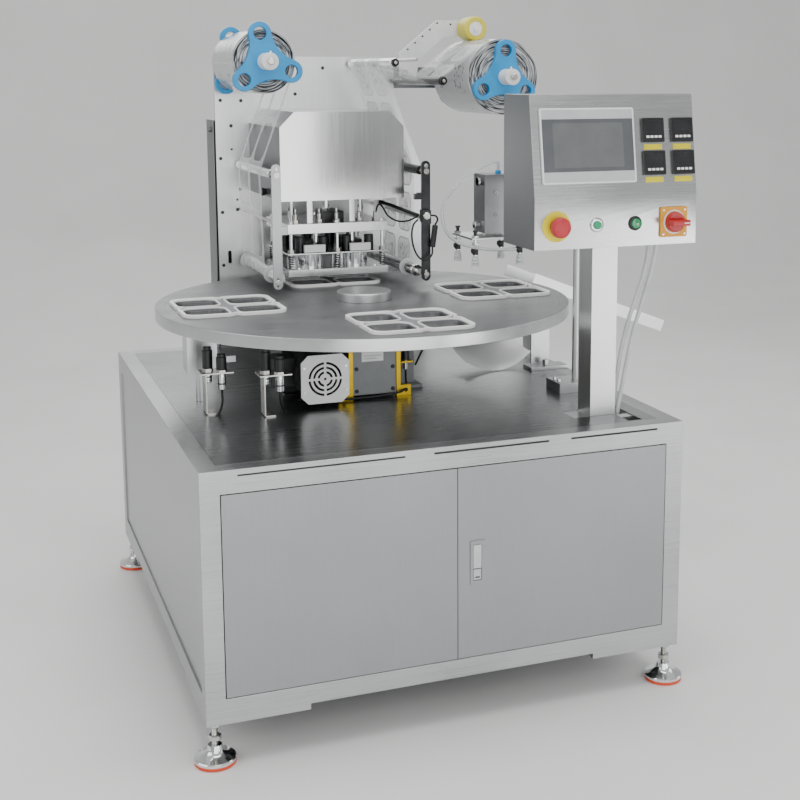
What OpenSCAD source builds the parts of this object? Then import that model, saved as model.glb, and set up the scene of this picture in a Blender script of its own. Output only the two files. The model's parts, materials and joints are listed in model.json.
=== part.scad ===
// Rotary cup sealing machine: a steel cabinet carries an indexing turntable, a heated press with
// its film unwind and rewind, a vacuum pick-up, a discharge chute and an operator box on a post.
// Millimetres, +Z up, front towards -Y. The origin is on the floor, under the middle of the machine.

/* [Cabinet] */
// Width of the cabinet
cab_w = 1000; // [900:10:1100]
// Depth of the cabinet
cab_d = 1140; // [1100:10:1200]
// Height of the welded frame, without the feet
frame_h = 489; // [440:1:540]
// Height that the levelling feet lift the frame
foot_h = 83; // [75:1:100]
// Width of the frame's tubes
tube = 38; // [30:1:45]

/* [Turntable] */
// Radius of the turntable
table_r = 475; // [465:1:480]
// Height of the turntable's top above the cabinet
table_rise = 192; // [190:1:205]
// Radius of the circle that the stations lie on
station_r = 320; // [315:1:325]
// Distance between two pockets of a station
pocket_pitch = 116; // [112:1:118]
// Width of a pocket's opening
pocket_w = 92; // [85:1:96]

/* [Press] */
// Width of the press plates
head_w = 254; // [250:1:260]
// Depth of the press plates
head_d = 226; // [220:1:230]
// Width of the film
film_w = 250; // [240:1:256]
// Radius of the printed supply film roll
supply_r = 95; // [60:1:100]
// Radius of the rewound roll of punched film
waste_r = 75; // [50:1:80]

/* [Operator box] */
// Width of the operator box
box_w = 354; // [340:1:360]
// Height of the operator box
box_h = 295; // [290:1:310]

/* [Hidden] */
$fn = 64;

// Small amounts
run_gap = 0.05;    // radial clearance of a shaft in its bore
sheet = 2;         // thickness of folded steel sheet

// Heights
cab_z = foot_h + frame_h;
table_z = cab_z + table_rise;
table_t = 27;
table_low = table_z - table_t;

// The turntable's axis, and the middle of the press over its rear station
table_y = 32;
press_y = table_y + station_r;

// The back plate that carries the press and the film
plate_y = 522;
plate_t = 10;
plate_low = cab_z;
plate_top = 1326;
column_back = 618;

// Press stack, from the pressure plate's underside upwards
head_low = table_z + 28;
pressure_t = 17;
spring_h = 36;
mid_t = 4;
mid_low = head_low + pressure_t + spring_h;
top_low = mid_low + 52;
top_t = 24;
die_r = 30;
rod_r = 10;
piston_r = 40;
guide_r = 8;
column_r = 6.5;

// Press cover, a sheet box open at its bottom and back
cover_w = 308;
cover_front = 190;
cover_low = 982;
cover_top = 1193;
cover_cut = 36;

// Film path: the middles of the rollers and reels as [x, z], and their radii
bar_x = 183;
bar_y = 112;
bar_t = 6;
bar_low = 785;
bar_high = 1076;
shaft_r = 6;
roller_r = 11;
low_roller_r = 15;
flange_r = 21;
upper_z = 1051;
lower_z = head_low - 1.3 + low_roller_r + 0.3;
low_x = 172;
top_pos = [120, 1308];
return_pos = [242, 1265];
supply_pos = [432, 1274];
waste_pos = [-178, 1310];
film_y0 = press_y - film_w / 2;
film_y1 = press_y + film_w / 2;
film_t = 0.3;
film_gap = 0.2;
roller_y0 = 150;
roller_y1 = 508;
reel_shaft_r = 15;
core_r = 38;
clamp_t = 16;
yellow_r = 32;
yellow_in = 14;
yellow_at = supply_pos + [yellow_in, sqrt(pow(supply_r + yellow_r + 0.3, 2) - yellow_in * yellow_in)];
arm_pivot = [268, 1285];

// Doors and their openings
door_gap = 1.5;
door_t = 20;
open_w = cab_w - 2 * tube;
open_low = foot_h + 50;
open_high = cab_z - 45;
pin_r = 3;
pin_in = 8;
pin_back = 4;

// Operator box
box_x = 145;
box_low = 947;
box_front = -601;
box_deep = 150;
fold_z = box_low + 100;
lean = 30;
panel_z = box_low + 45;
post_w = 58;
post_at = [338, -466];

// Vacuum pick-up over the right station
pick_x = 314;
pick_y = 35;
pick_half = 57;
pick_low = 834;
pick_plate_z = 897;
pick_column = [418, -232];

// Discharge chute
chute_y = 130;
chute_w = 180;
chute_start = [472, 756];
chute_end = [846, 610];
chute_wall = 30;
chute_slope = atan((chute_start[1] - chute_end[1]) / (chute_end[0] - chute_start[0]));

// Furthest points of the machine, which set the origin over the floor
foot_r = 40;
foot_at = [cab_w / 2 - 19, cab_d / 2 - 24];
reach_left = -foot_at[0] - foot_r;
reach_right = chute_end[0] + chute_wall * sin(chute_slope);
reach_front = box_front - 36;
shift = [(reach_left + reach_right) / 2, (reach_front + column_back) / 2, 0];

// Cable routes, from the top down, as round points
cable_d = 9;
cable_a = [[478, -450, 947], [478, -448, 925], [478, -444, 900], [474, -438, 865],
    [466, -430, 825], [455, -424, 785], [444, -421, 745], [434, -420, 700],
    [426, -420, 655], [420, -420, 610], [417, -420, 580], [416, -420, 550], [416, -420, 520]];
cable_b = [[496, -450, 947], [496, -449, 930], [495, -446, 905], [490, -441, 870],
    [481, -436, 830], [470, -434, 790], [457, -434, 750], [446, -434, 705],
    [436, -435, 660], [426, -437, 615], [418, -439, 580], [415, -440, 550], [414, -440, 520]];
sensor_cable_d = 5;
sensor_cable_a = [[-372, -150, 622], [-372, -150, 612], [-372, -153, 602], [-374, -158, 593],
    [-378, -165, 585], [-383, -171, 577], [-386, -175, 569], [-388, -177, 560], [-388, -177, 550]];
sensor_cable_b = [[-262, -213, 622], [-262, -213, 612], [-261, -211, 602], [-259, -207, 593],
    [-256, -202, 585], [-252, -197, 577], [-249, -193, 569], [-247, -190, 560], [-247, -190, 550]];
sensor_exits = [[-386, -175], [-249, -193]];
tube_d = 8;
air_route = [[338, 34, 1047], [338, 34, 1056], [336, 26, 1066], [327, 10, 1075], [304, -14, 1078],
    [274, -32, 1070], [238, -43, 1054], [204, -46, 1030], [178, -46, 1002], [166, -46, 972],
    [168, -46, 942], [180, -46, 916], [202, -46, 898], [230, -45, 887], [262, -43, 879],
    [296, -38, 874], [326, -31, 872], [346, -25, 871], [358, -22.5, 871], [366.7, -22, 871]];

// ---- helpers ----

module placed() {
    translate(-shift) children();
}

// A box from its lowest to its highest corner
module block(low, high) {
    translate(low) cube(high - low);
}

// A cylinder along Y from y0 to y1 at [x, z]
module rod_y(at, r, y0, y1) {
    translate([at[0], y0, at[1]]) rotate([-90, 0, 0]) cylinder(r = r, h = y1 - y0);
}

// A tube along Y
module tube_y(at, r, bore, y0, y1) {
    difference() {
        rod_y(at, r, y0, y1);
        rod_y(at, bore, y0 - 1, y1 + 1);
    }
}

// A flat shape drawn in X and Z, given a thickness from y0 to y1
module slab_y(y0, y1) {
    translate([0, y1, 0]) rotate([90, 0, 0]) linear_extrude(y1 - y0) children();
}

// A rectangle with rounded corners, around the origin
module soft_rect(w, h, r) {
    offset(r = r, $fn = 32) square([w - 2 * r, h - 2 * r], center = true);
}

// A tube swept along hand-set points
function unit(v) = v / norm(v);
function heading(pts, i) =
    unit(pts[min(i + 1, len(pts) - 1)] - pts[max(i - 1, 0)]);
function side_of(d) = unit(cross(d, [0, 1, 0]));
module cord(pts, d) {
    sides = 8;
    n = len(pts);
    rings = [for (i = [0:n - 1]) let (h = heading(pts, i), a = side_of(h), b = cross(h, a))
        for (k = [0:sides - 1]) let (t = 360 * k / sides)
            pts[i] + d / 2 * (cos(t) * a + sin(t) * b)];
    walls = [for (i = [0:n - 2]) for (k = [0:sides - 1])
        let (m = (k + 1) % sides, low = i * sides, high = low + sides)
            each [[low + k, high + k, high + m], [low + k, high + m, low + m]]];
    caps = [[for (k = [0:sides - 1]) k], [for (k = [sides - 1:-1:0]) (n - 1) * sides + k]];
    polyhedron(rings, concat(walls, caps));
}

// Both points of the straight run between two rollers; side is +1 or -1 for each roller
function run(c1, r1, s1, c2, r2, s2) =
    let (d = c2 - c1, a = atan2(d[1], d[0]), t = a - asin((s1 * r1 - s2 * r2) / norm(d)),
        n = [-sin(t), cos(t)])
    [c1 + s1 * r1 * n, c2 + s2 * r2 * n];

// Points round a roller from one touching point to the next, the short way
function wrap_arc(c, p, q, steps) =
    let (a = atan2(p[1] - c[1], p[0] - c[0]), raw = atan2(q[1] - c[1], q[0] - c[0]) - a,
        turn = raw > 180 ? raw - 360 : raw < -180 ? raw + 360 : raw)
    [for (i = [1:steps - 1]) let (t = a + turn * i / steps) c + norm(p - c) * [cos(t), sin(t)]];

// A thin strip through a list of points
module strip(pts, t) {
    n = len(pts);
    normals = [for (i = [0:n - 1])
        let (d = unit(pts[min(i + 1, n - 1)] - pts[max(i - 1, 0)])) [-d[1], d[0]] * t / 2];
    polygon(concat([for (i = [0:n - 1]) pts[i] + normals[i]],
        [for (i = [n - 1:-1:0]) pts[i] - normals[i]]));
}

// ---- cabinet ----

module cabinet_frame() {
    hw = cab_w / 2;
    hd = cab_d / 2;
    slits = [[-429, -107], [-48, 195], [244, 440]];
    step = 12;
    color("silver") placed() difference() {
        union() {
            for (x = [-hw, hw - tube], y = [-hd, hd - tube])
                block([x, y, foot_h], [x + tube, y + tube, cab_z]);
            for (y = [-hd, hd - tube]) {
                block([-hw + tube, y, open_high], [hw - tube, y + tube, cab_z]);
                block([-hw + tube, y, foot_h], [hw - tube, y + tube, open_low]);
            }
            for (x = [-hw, hw - tube]) {
                block([x, -hd + tube, open_high], [x + tube, hd - tube, cab_z]);
                block([x, -hd + tube, foot_h], [x + tube, hd - tube, open_low]);
            }
        }
        for (s = slits)
            block([s[0], -hd - 1, cab_z - 13], [s[1], -hd + sheet, cab_z - 10]);
        for (s = [-1, 1]) {
            block([-0.6 * hw, s * hd - tube - 1, foot_h - 1],
                [0.6 * hw, s * hd + tube + 1, foot_h + step]);
            block([s * hw - tube - 1, -0.6 * hd, foot_h - 1],
                [s * hw + tube + 1, 0.6 * hd, foot_h + step]);
        }
    }
}

module top_sheet() {
    x = open_w / 2;
    y = cab_d / 2 - tube;
    color("gainsboro") placed() difference() {
        block([-x, -y, cab_z - 3], [x, y, cab_z]);
        block([300, -468, cab_z - 4], [428, -406, cab_z + 1]);
        block([396, -528, cab_z - 4], [428, -406, cab_z + 1]);
        for (p = sensor_exits) translate([p[0], p[1], cab_z - 4]) cylinder(d = 16, h = 6);
    }
}

module side_panels() {
    x = cab_w / 2 - 4;
    y = cab_d / 2 - tube;
    color("silver") placed() {
        for (s = [-1, 1])
            translate([s * (x - 1), 0, 0]) block([-1, -y, open_low], [1, y, open_high]);
        block([-open_w / 2, y + tube - 6, open_low], [open_w / 2, y + tube - 4, open_high]);
    }
}

module each_foot() {
    for (x = [-foot_at[0], foot_at[0]], y = [-foot_at[1], foot_at[1]])
        translate([x, y, 0]) children();
}

module foot_pads() {
    color("orangered") placed() each_foot() rotate_extrude() square([foot_r - 1, 7]);
}

module levelling_feet() {
    color("lightgray") placed() each_foot() {
        translate([0, 0, 7]) rotate_extrude()
            polygon([[0, 0], [foot_r, 0], [foot_r, 6], [36, 12], [15, 24], [13, 30], [0, 30]]);
        translate([0, 0, 37]) cylinder(d = 12, h = foot_h - 37);
        translate([0, 0, 46]) difference() {
            cylinder(d = 24, h = 10, $fn = 6);
            translate([0, 0, -1]) cylinder(d = 12, h = 12);
        }
        translate([0, 0, foot_h - 10]) difference() {
            cylinder(d = 24, h = 10, $fn = 6);
            translate([0, 0, -1]) cylinder(d = 12, h = 12);
        }
    }
}

door_w = open_w / 2 - 1.5 * door_gap;
door_low = open_low + door_gap;
door_high = open_high - door_gap;
door_front = -cab_d / 2;

// A folded door, hinged at its outer edge, drawn for the right side
module door_shell() {
    x0 = door_gap / 2;
    rim = 14;
    difference() {
        block([x0, door_front, door_low], [x0 + door_w, door_front + door_t, door_high]);
        block([x0 + rim, door_front + sheet, door_low + 19],
            [x0 + door_w - rim, door_front + door_t + 1, door_high - 19]);
        for (z = [door_low - 1, door_high - 17])
            translate([x0 + door_w - pin_in, door_front + pin_back, z])
                cylinder(r = pin_r + run_gap, h = 18);
    }
}

module left_door() {
    color("silver") placed() mirror([1, 0, 0]) door_shell();
}

latch_x = 41;
latch_z = 330;

module right_door() {
    color("silver") placed() {
        difference() {
            door_shell();
            block([latch_x - 11, door_front - 1, latch_z - 41],
                [latch_x + 11, door_front + 5, latch_z + 41]);
        }
        difference() {
            block([latch_x - 15, door_front - 2, latch_z - 45],
                [latch_x + 15, door_front, latch_z + 45]);
            block([latch_x - 9, door_front - 3, latch_z - 37],
                [latch_x + 9, door_front + 1, latch_z + 37]);
        }
    }
}

module latch_button() {
    color("dimgray") placed()
        block([latch_x - 8, door_front - 1.5, latch_z - 36],
            [latch_x + 8, door_front + 1.8, latch_z - 14]);
}

module door_hinges() {
    color("gray") placed()
        for (s = [-1, 1], z = [open_low, open_high - 16])
            translate([s * (door_gap / 2 + door_w - pin_in), door_front + pin_back, z])
                cylinder(r = pin_r, h = 16);
}

module electrical_panel() {
    y = cab_d / 2 - tube;
    color("lightgray") placed() {
        block([-300, y - 5, 150], [300, y - 3, 500]);
        block([-260, y - 85, 330], [-60, y - 5, 450]);
        block([-30, y - 75, 350], [140, y - 5, 440]);
        for (i = [0:5])
            block([-250 + 60 * i, y - 65, 190], [-206 + 60 * i, y - 5, 270]);
        block([-300, y - 3, 300], [-280, y + tube - 6, 340]);
        block([280, y - 3, 300], [300, y + tube - 6, 340]);
        block([395, -465, 480], [cab_w / 2 - 6, -400, 520]);
    }
}

// ---- turntable and its drive ----

motor_at = [-160, 637];
cowl_front = -200;

module indexer_gearbox() {
    color("gray") placed() difference() {
        union() {
            block([-82, -145, cab_z + 8], [18, -60, 690]);
            block([-82, -60, cab_z + 8], [90, 130, 715]);
            block([-82, -90, cab_z], [100, 140, cab_z + 8]);
        }
        translate([0, table_y, 640]) cylinder(r = 30 + run_gap, h = 80);
    }
}

module indexer_brackets() {
    color("goldenrod") placed()
        for (x = [[-92, -82], [18, 28]]) {
            block([x[0], -147, cab_z], [x[1], -137, 690]);
            difference() {
                block([x[0] < 0 ? x[0] - 24 : x[1], -147, cab_z],
                    [x[0] < 0 ? x[0] : x[1] + 24, -137, cab_z + 24]);
                translate([(x[0] + x[1]) / 2 + (x[0] < 0 ? -17 : 17), -150, cab_z + 12])
                    rotate([-90, 0, 0]) cylinder(d = 9, h = 20);
            }
        }
}

module gear_motor() {
    color("dimgray") placed() {
        tube_y(motor_at, 50, 44, cowl_front + 3, cowl_front + 40);
        rod_y(motor_at, 50, cowl_front + 40, -40);
        rod_y(motor_at, 5, cowl_front + 22, cowl_front + 40);
        block([-215, -40, cab_z + 4], [-82, 80, 700]);
        block([-215, -60, cab_z], [-104, 80, cab_z + 4]);
    }
}

module motor_fan() {
    color("black") placed() {
        difference() {
            rod_y(motor_at, 12, cowl_front + 14, cowl_front + 34);
            rod_y(motor_at, 5 + run_gap, cowl_front + 20, cowl_front + 35);
        }
        for (a = [0:60:300])
            translate([motor_at[0], 0, motor_at[1]]) rotate([0, a, 0])
                block([11, cowl_front + 16, -1.5], [40, cowl_front + 32, 1.5]);
    }
}

module fan_cowl() {
    vents = [[12, 17], [22, 27], [32, 37]];
    color("white") placed() translate([motor_at[0], cowl_front + 3, motor_at[1]])
        rotate([90, 0, 0]) linear_extrude(3) difference() {
            intersection() {
                square(106, center = true);
                rotate(45) square(128, center = true);
            }
            for (v = vents) difference() {
                circle(v[1]);
                circle(v[0]);
                for (a = [0, 90]) rotate(a) square([80, 5], center = true);
            }
            circle(3);
        }
}

module turntable_spindle() {
    color("silver") placed() translate([0, table_y, 0]) {
        translate([0, 0, 650]) cylinder(r = 30, h = table_low - 12 - 650);
        translate([0, 0, table_low - 12]) cylinder(r = 90, h = 12);
    }
}

module pocket_shape(grow) {
    for (x = [-1, 1], y = [-1, 1])
        translate([x, y] * pocket_pitch / 2) soft_rect(pocket_w + grow, pocket_w + grow, 22);
}

module each_station() {
    for (a = [0:90:270]) rotate(a) translate([station_r, 0, 0]) children();
}

module turntable() {
    color("silver") placed() translate([0, table_y, 0]) difference() {
        translate([0, 0, table_low]) cylinder(r = table_r, h = table_t, $fn = 128);
        each_station() translate([0, 0, table_low - 1])
            linear_extrude(table_t + 2) pocket_shape(0);
    }
}

module hub_cap() {
    color("silver") placed() translate([0, table_y, table_z]) rotate_extrude()
        polygon([[0, 0], [63, 0], [63, 19], [61, 21], [0, 21]]);
}

module station_gaskets() {
    color("white") placed() translate([0, table_y, table_z]) each_station() difference() {
        linear_extrude(8) offset(r = -6, $fn = 32) offset(r = 6) pocket_shape(20);
        translate([0, 0, -1]) linear_extrude(10) pocket_shape(0);
    }
}

module table_supports() {
    color("whitesmoke") placed() {
        difference() {
            block([-428, -60, 640], [-363, -5, table_low - 6]);
            translate([-380, -61, 676]) rotate([-90, 0, 0]) cylinder(d = 12, h = 60);
        }
        block([-363, -40, 655], [-318, -34, 669]);
        translate([-395, -30, cab_z]) cylinder(d = 22, h = 640 - cab_z);
        block([400, -31, cab_z], [498, 18, cab_z + 8]);
        block([421, 18, cab_z], [470, 24, table_low - 6]);
        translate([449, -5, cab_z + 8]) cylinder(d = 16, h = 12, $fn = 6);
    }
}

sensor_posts = [[-407, -148], [-297, -211]];

module position_sensors() {
    color("darkgray") placed() for (p = sensor_posts) translate([p[0], p[1], 0]) {
        block([-1.5, -15, cab_z], [1.5, 20, 658]);
        block([-1.5, -15, cab_z], [22, 20, cab_z + 3]);
        difference() {
            block([-10, -17, 658], [58, 34, 661]);
            for (q = [[35, -2], [10, 22]])
                translate([q[0], q[1], 650]) cylinder(d = 18, h = 20);
        }
        for (q = [[35, -2, 700, 622], [10, 22, 712, 634]]) {
            translate([q[0], q[1], q[3]]) cylinder(d = 18, h = 664 - q[3]);
            translate([q[0], q[1], 664]) cylinder(d = 22, h = q[2] - 664);
        }
    }
}

module sensor_cables() {
    color("black") placed() {
        cord(sensor_cable_a, sensor_cable_d);
        cord(sensor_cable_b, sensor_cable_d);
    }
}

// ---- press ----

module back_plate() {
    square_holes = [[-181, 986], [250, 1203]];
    round_holes = [[-200, 1150], [-200, 1090], [45, 1297], [-189, 960]];
    color("gainsboro") placed() slab_y(plate_y, plate_y + plate_t) difference() {
        polygon([[-240, plate_low], [330, plate_low], [322, 900], [314, 1041], [273, 1143],
            [240, 1236], [240, plate_top], [-240, plate_top]]);
        for (p = square_holes) translate(p) square(7, center = true);
        for (p = round_holes) translate(p) circle(d = 6);
        translate([-212, 811]) soft_rect(9, 34, 4.4);
    }
}

module rear_column() {
    y0 = plate_y + plate_t;
    color("gray") placed() {
        difference() {
            block([-245, y0, cab_z], [245, column_back, 1165]);
            block([-243, y0 - 1, cab_z + 3], [243, column_back - sheet, 1163]);
        }
        translate([-252, 560, 1140]) rotate([0, 90, 0]) cylinder(d = 14, h = 7);
    }
}

module press_cover() {
    w = cover_w / 2;
    outline = [[-w, cover_low], [w, cover_low], [w, cover_top - cover_cut],
        [w - cover_cut, cover_top], [-w + cover_cut, cover_top], [-w, cover_top - cover_cut]];
    color("whitesmoke") placed() {
        difference() {
            slab_y(cover_front, plate_y) polygon(outline);
            slab_y(cover_front + sheet, plate_y + 1)
                translate([0, -sheet]) offset(delta = -sheet) polygon([
                    for (p = outline) [p[0], p[1] < cover_low + 1 ? p[1] - 20 : p[1] + sheet]]);
        }
        translate([-w, 334, 983 + 12]) rotate([0, -90, 0]) cylinder(d1 = 14, d2 = 20, h = 14);
    }
}

module press_cylinder() {
    color("lightgray") placed() {
        difference() {
            block([-130, press_y - 90, 1010], [130, plate_y, 1026]);
            translate([0, press_y, 1005]) cylinder(r = rod_r + run_gap, h = 30);
            for (x = [-90, 90])
                translate([x, press_y, 1005]) cylinder(r = guide_r + run_gap, h = 30);
        }
        difference() {
            translate([0, press_y, 1026]) cylinder(r = 50, h = 140);
            translate([0, press_y, 1020]) cylinder(r = rod_r + run_gap, h = 30);
            translate([0, press_y, 1040]) cylinder(r = piston_r + run_gap, h = 114);
        }
    }
}

module press_rods() {
    top = top_low + top_t;
    color("silver") placed() {
        translate([0, press_y, top]) cylinder(r = rod_r, h = 1120 - top);
        translate([0, press_y, 1120]) cylinder(r = piston_r, h = 24);
        for (x = [-90, 90])
            translate([x, press_y, top]) cylinder(r = guide_r, h = 1100 - top);
        for (x = [-46, 46], y = [-70, 70])
            translate([x, press_y + y, mid_low + mid_t])
                cylinder(r = column_r, h = top_low - mid_low - mid_t);
    }
}

module head_plates() {
    w = head_w / 2;
    d = head_d / 2;
    tabs = [[-75, 5], [32, 9]];
    color("gainsboro") placed() translate([0, press_y, 0]) {
        block([-w, -d, top_low], [w, d, top_low + top_t]);
        block([-w, -d, mid_low], [w, d, mid_low + mid_t]);
        for (t = tabs)
            block([t[0], -d + 12, top_low + top_t], [t[0] + 14, -d + 16, 985]);
    }
}

module sealing_dies() {
    h = mid_low - head_low - 0.5;
    color("silver") placed() translate([0, press_y, 0])
        for (x = [-1, 1], y = [-1, 1])
            translate([x * pocket_pitch / 2, y * pocket_pitch / 2, head_low + 0.5])
                cylinder(r = die_r, h = h);
}

spring_spots = [for (x = [-116, 0, 116], y = [-100, 100]) [x, y]];

module head_springs() {
    color("dimgray") placed() translate([0, press_y, head_low + pressure_t])
        for (p = spring_spots) translate([p[0], p[1], 0]) difference() {
            cylinder(r = 8, h = spring_h);
            translate([0, 0, -1]) cylinder(r = 6, h = spring_h + 2);
        }
}

module pressure_plate() {
    w = head_w / 2;
    d = head_d / 2;
    color("gainsboro") placed() translate([0, press_y, 0]) {
        difference() {
            block([-w, -d, head_low], [w, d, head_low + pressure_t]);
            for (x = [-1, 1], y = [-1, 1])
                translate([x * pocket_pitch / 2, y * pocket_pitch / 2, head_low - 1])
                    cylinder(r = die_r + 0.3, h = pressure_t + 2);
        }
    }
}

// ---- film path ----

module film_bar() {
    slab_y(bar_y, bar_y + bar_t) difference() {
        translate([0, (bar_low + bar_high) / 2]) soft_rect(22, bar_high - bar_low, 10.9);
        translate([0, bar_low + 16]) soft_rect(7, 22, 3.4);
        translate([0, bar_high - 12]) circle(d = 7);
    }
}

module film_side_bars() {
    color("silver") placed() {
        translate([-bar_x, 0, 0]) film_bar();
        translate([bar_x, 0, 0]) film_bar();
        block([-bar_x + 11, bar_y, 912], [-bar_x + 24, bar_y + 4, 932]);
        block([bar_x - 30, bar_y - 6, 984], [bar_x - 11, bar_y + bar_t, 998]);
        block([bar_x - 14, bar_y - 14, 925], [bar_x + 8, bar_y, 958]);
    }
}

module end_screw(at, y) {
    rod_y(at, 8, y - 6, y);
}

module film_shafts() {
    back = plate_y;
    bar_back = bar_y + bar_t;
    color("gray") placed() {
        for (p = [[-bar_x, upper_z], [bar_x, upper_z], [-low_x, lower_z], [low_x, lower_z]])
            rod_y(p, shaft_r, bar_back, back);
        for (p = [top_pos, return_pos]) {
            rod_y(p, shaft_r, roller_y0, back);
            end_screw(p, roller_y0);
        }
        rod_y([-bar_x, 938], 4, bar_back, back);
        rod_y([178, 1315], 4, 160, back);
        rod_y([bar_x - 6, 938], 5, bar_back, back);
        rod_y(arm_pivot, 4, back - 10, back);
        end_screw(arm_pivot, back - 8);
        for (p = [[-bar_x, upper_z], [bar_x, upper_z]]) rod_y(p, 7, bar_y - 5, bar_y);
        tube_y(supply_pos, 34, reel_shaft_r + run_gap, back - 14, back);
        tube_y(waste_pos, 34, reel_shaft_r + run_gap, back - 14, back);
    }
}

// A plain guide roller and a flanged one
module guide_roller(at, r) {
    tube_y(at, r, shaft_r + run_gap, roller_y0 + 1, roller_y1);
}

module flanged_roller(at) {
    difference() {
        union() {
            rod_y(at, low_roller_r, roller_y0 + 1, roller_y1);
            for (y = [film_y0 - 8, film_y1 + 2]) rod_y(at, flange_r, y, y + 6);
        }
        rod_y(at, shaft_r + run_gap, roller_y0, roller_y1 + 1);
    }
}

module upper_left_roller() {
    color("silver") placed() guide_roller([-bar_x, upper_z], roller_r);
}

module lower_left_roller() {
    color("silver") placed() flanged_roller([-low_x, lower_z]);
}

module upper_right_roller() {
    color("dimgray") placed() guide_roller([bar_x, upper_z], roller_r);
}

module lower_right_roller() {
    color("silver") placed() flanged_roller([low_x, lower_z]);
}

module top_roller() {
    color("lightgray") placed() guide_roller(top_pos, roller_r);
}

module return_roller() {
    color("dimgray") placed() guide_roller(return_pos, roller_r);
}

reel_nose = 150;

module reel_shaft(at) {
    rod_y(at, reel_shaft_r, film_y0 - clamp_t, plate_y);
    rod_y(at, 8, reel_nose, film_y0 - clamp_t);
    tube_y(at, 20, 8, reel_nose + 12, film_y0 - clamp_t);
}

// Three round lobes with holes, blended into a hub
module clamp_shape(at, turn) {
    lobe_at = 66;
    translate(at) rotate(turn) difference() {
        offset(r = -80, $fn = 48) offset(r = 80, $fn = 48) union() {
            circle(32);
            for (a = [0:120:240]) rotate(a) {
                translate([0, lobe_at]) circle(27);
                translate([-20, 0]) square([40, lobe_at]);
            }
        }
        for (a = [0:120:240]) rotate(a) translate([0, lobe_at]) circle(15);
        circle(reel_shaft_r);
    }
}

module reel_clamps(at, front_turn, back_turn) {
    slab_y(film_y0 - clamp_t, film_y0) clamp_shape(at, front_turn);
    slab_y(film_y1, film_y1 + clamp_t) clamp_shape(at, back_turn);
}

module film_roll(at, r) {
    tube_y(at, r, core_r, film_y0, film_y1);
    tube_y(at, core_r, reel_shaft_r, film_y0, film_y1);
}

module unwind_shaft() {
    color("whitesmoke") placed() reel_shaft(supply_pos);
}

module unwind_clamps() {
    color("deepskyblue") placed() reel_clamps(supply_pos, -2, 14);
}

module supply_film_roll() {
    color("lightgray") placed() film_roll(supply_pos, supply_r);
}

module rewind_shaft() {
    color("whitesmoke") placed() reel_shaft(waste_pos);
}

module rewind_clamps() {
    color("deepskyblue") placed() reel_clamps(waste_pos, 10, 22);
}

module waste_film_roll() {
    color("lightgray") placed() film_roll(waste_pos, waste_r);
}

module unwind_arm() {
    color("gray") placed() {
        slab_y(plate_y, plate_y + plate_t) difference() {
            union() {
                translate([240, 1244]) square([200, 56]);
                translate(supply_pos) circle(42);
            }
            translate(supply_pos) circle(reel_shaft_r + run_gap);
        }
        block([170, plate_y + plate_t, 1250], [330, plate_y + plate_t + 8, 1294]);
    }
}

module roller_arm() {
    color("whitesmoke") placed() {
        slab_y(plate_y - 7, plate_y - 1) difference() {
            offset(r = 6, $fn = 32) offset(r = -6)
                polygon([[254, 1268], [300, 1268], [312, 1322], [384, 1382], [455, 1382],
                    [462, 1392], [462, 1424], [361, 1424], [254, 1336]]);
            for (i = [0:4]) translate([276 + 21 * i, 1346 + 17.5 * i]) circle(d = 5);
            translate([398, 1418 - 5]) circle(d = 5);
            translate(arm_pivot) circle(4 + run_gap);
        }
        rod_y(yellow_at, 6, 440, plate_y - 7);
    }
}

module measuring_roller() {
    color("khaki") placed() tube_y(yellow_at, yellow_r, 6 + run_gap, 444, 504);
}

// Film from the rewind reel, back under the press, to the supply roll
module film_web() {
    off = film_gap + film_t / 2;
    g = roller_r + off;
    lg = low_roller_r + off;
    ul = [-bar_x, upper_z];
    ll = [-low_x, lower_z];
    ur = [bar_x, upper_z];
    lr = [low_x, lower_z];
    top = top_pos;
    back = return_pos;
    a = run(waste_pos, waste_r + off, 1, ul, g, -1);
    b = run(ul, g, -1, ll, lg, -1);
    c = run(ll, lg, -1, lr, lg, -1);
    d = run(lr, lg, -1, ur, g, -1);
    e = run(ur, g, -1, top, g, 1);
    f = run(top, g, 1, back, g, -1);
    h = run(back, g, -1, supply_pos, supply_r + off, 1);
    color("lightgray") placed() slab_y(film_y0, film_y1) strip(concat(
        a, wrap_arc(ul, a[1], b[0], 2),
        b, wrap_arc(ll, b[1], c[0], 5),
        c, wrap_arc(lr, c[1], d[0], 5),
        d, wrap_arc(ur, d[1], e[0], 2),
        e, wrap_arc(top, e[1], f[0], 10),
        f, wrap_arc(back, f[1], h[0], 4),
        h), film_t);
}

// ---- operator box and post ----

module control_post() {
    x = post_at[0];
    y = post_at[1];
    low = cab_z - 3;
    color("silver") placed() {
        difference() {
            block([x, y, low], [x + post_w, y + post_w, box_low]);
            block([x + 3, y + 3, low - 1], [x + post_w - 3, y + post_w - 3, box_low + 1]);
        }
        difference() {
            block([x - 50, y - 20, low - 8], [x + post_w + 45, y + post_w + 20, low]);
            block([x + post_w, y + 4, low - 9], [x + post_w + 32, y + post_w, low + 1]);
        }
    }
}

module box_outline(inset) {
    offset(delta = -inset) polygon([[box_front, box_low], [box_front, fold_z],
        [box_front + lean, box_low + box_h], [box_front + box_deep, box_low + box_h],
        [box_front + box_deep, box_low]]);
}

module control_box() {
    color("silver") placed() difference() {
        translate([box_x, 0, 0]) rotate([90, 0, 90]) linear_extrude(box_w) box_outline(0);
        translate([box_x + sheet, 0, 0]) rotate([90, 0, 90])
            linear_extrude(box_w - 2 * sheet) box_outline(sheet);
        for (x = [478, 496]) translate([x, -450, box_low - 1]) cylinder(d = 12, h = 4);
        for (x = button_x) translate([x, box_front - 1, panel_z]) rotate([-90, 0, 0])
            cylinder(d = 22, h = 4);
    }
}

button_x = [191, 277, 361, 446];
upper_tilt = atan(lean / (box_low + box_h - fold_z));

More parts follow.
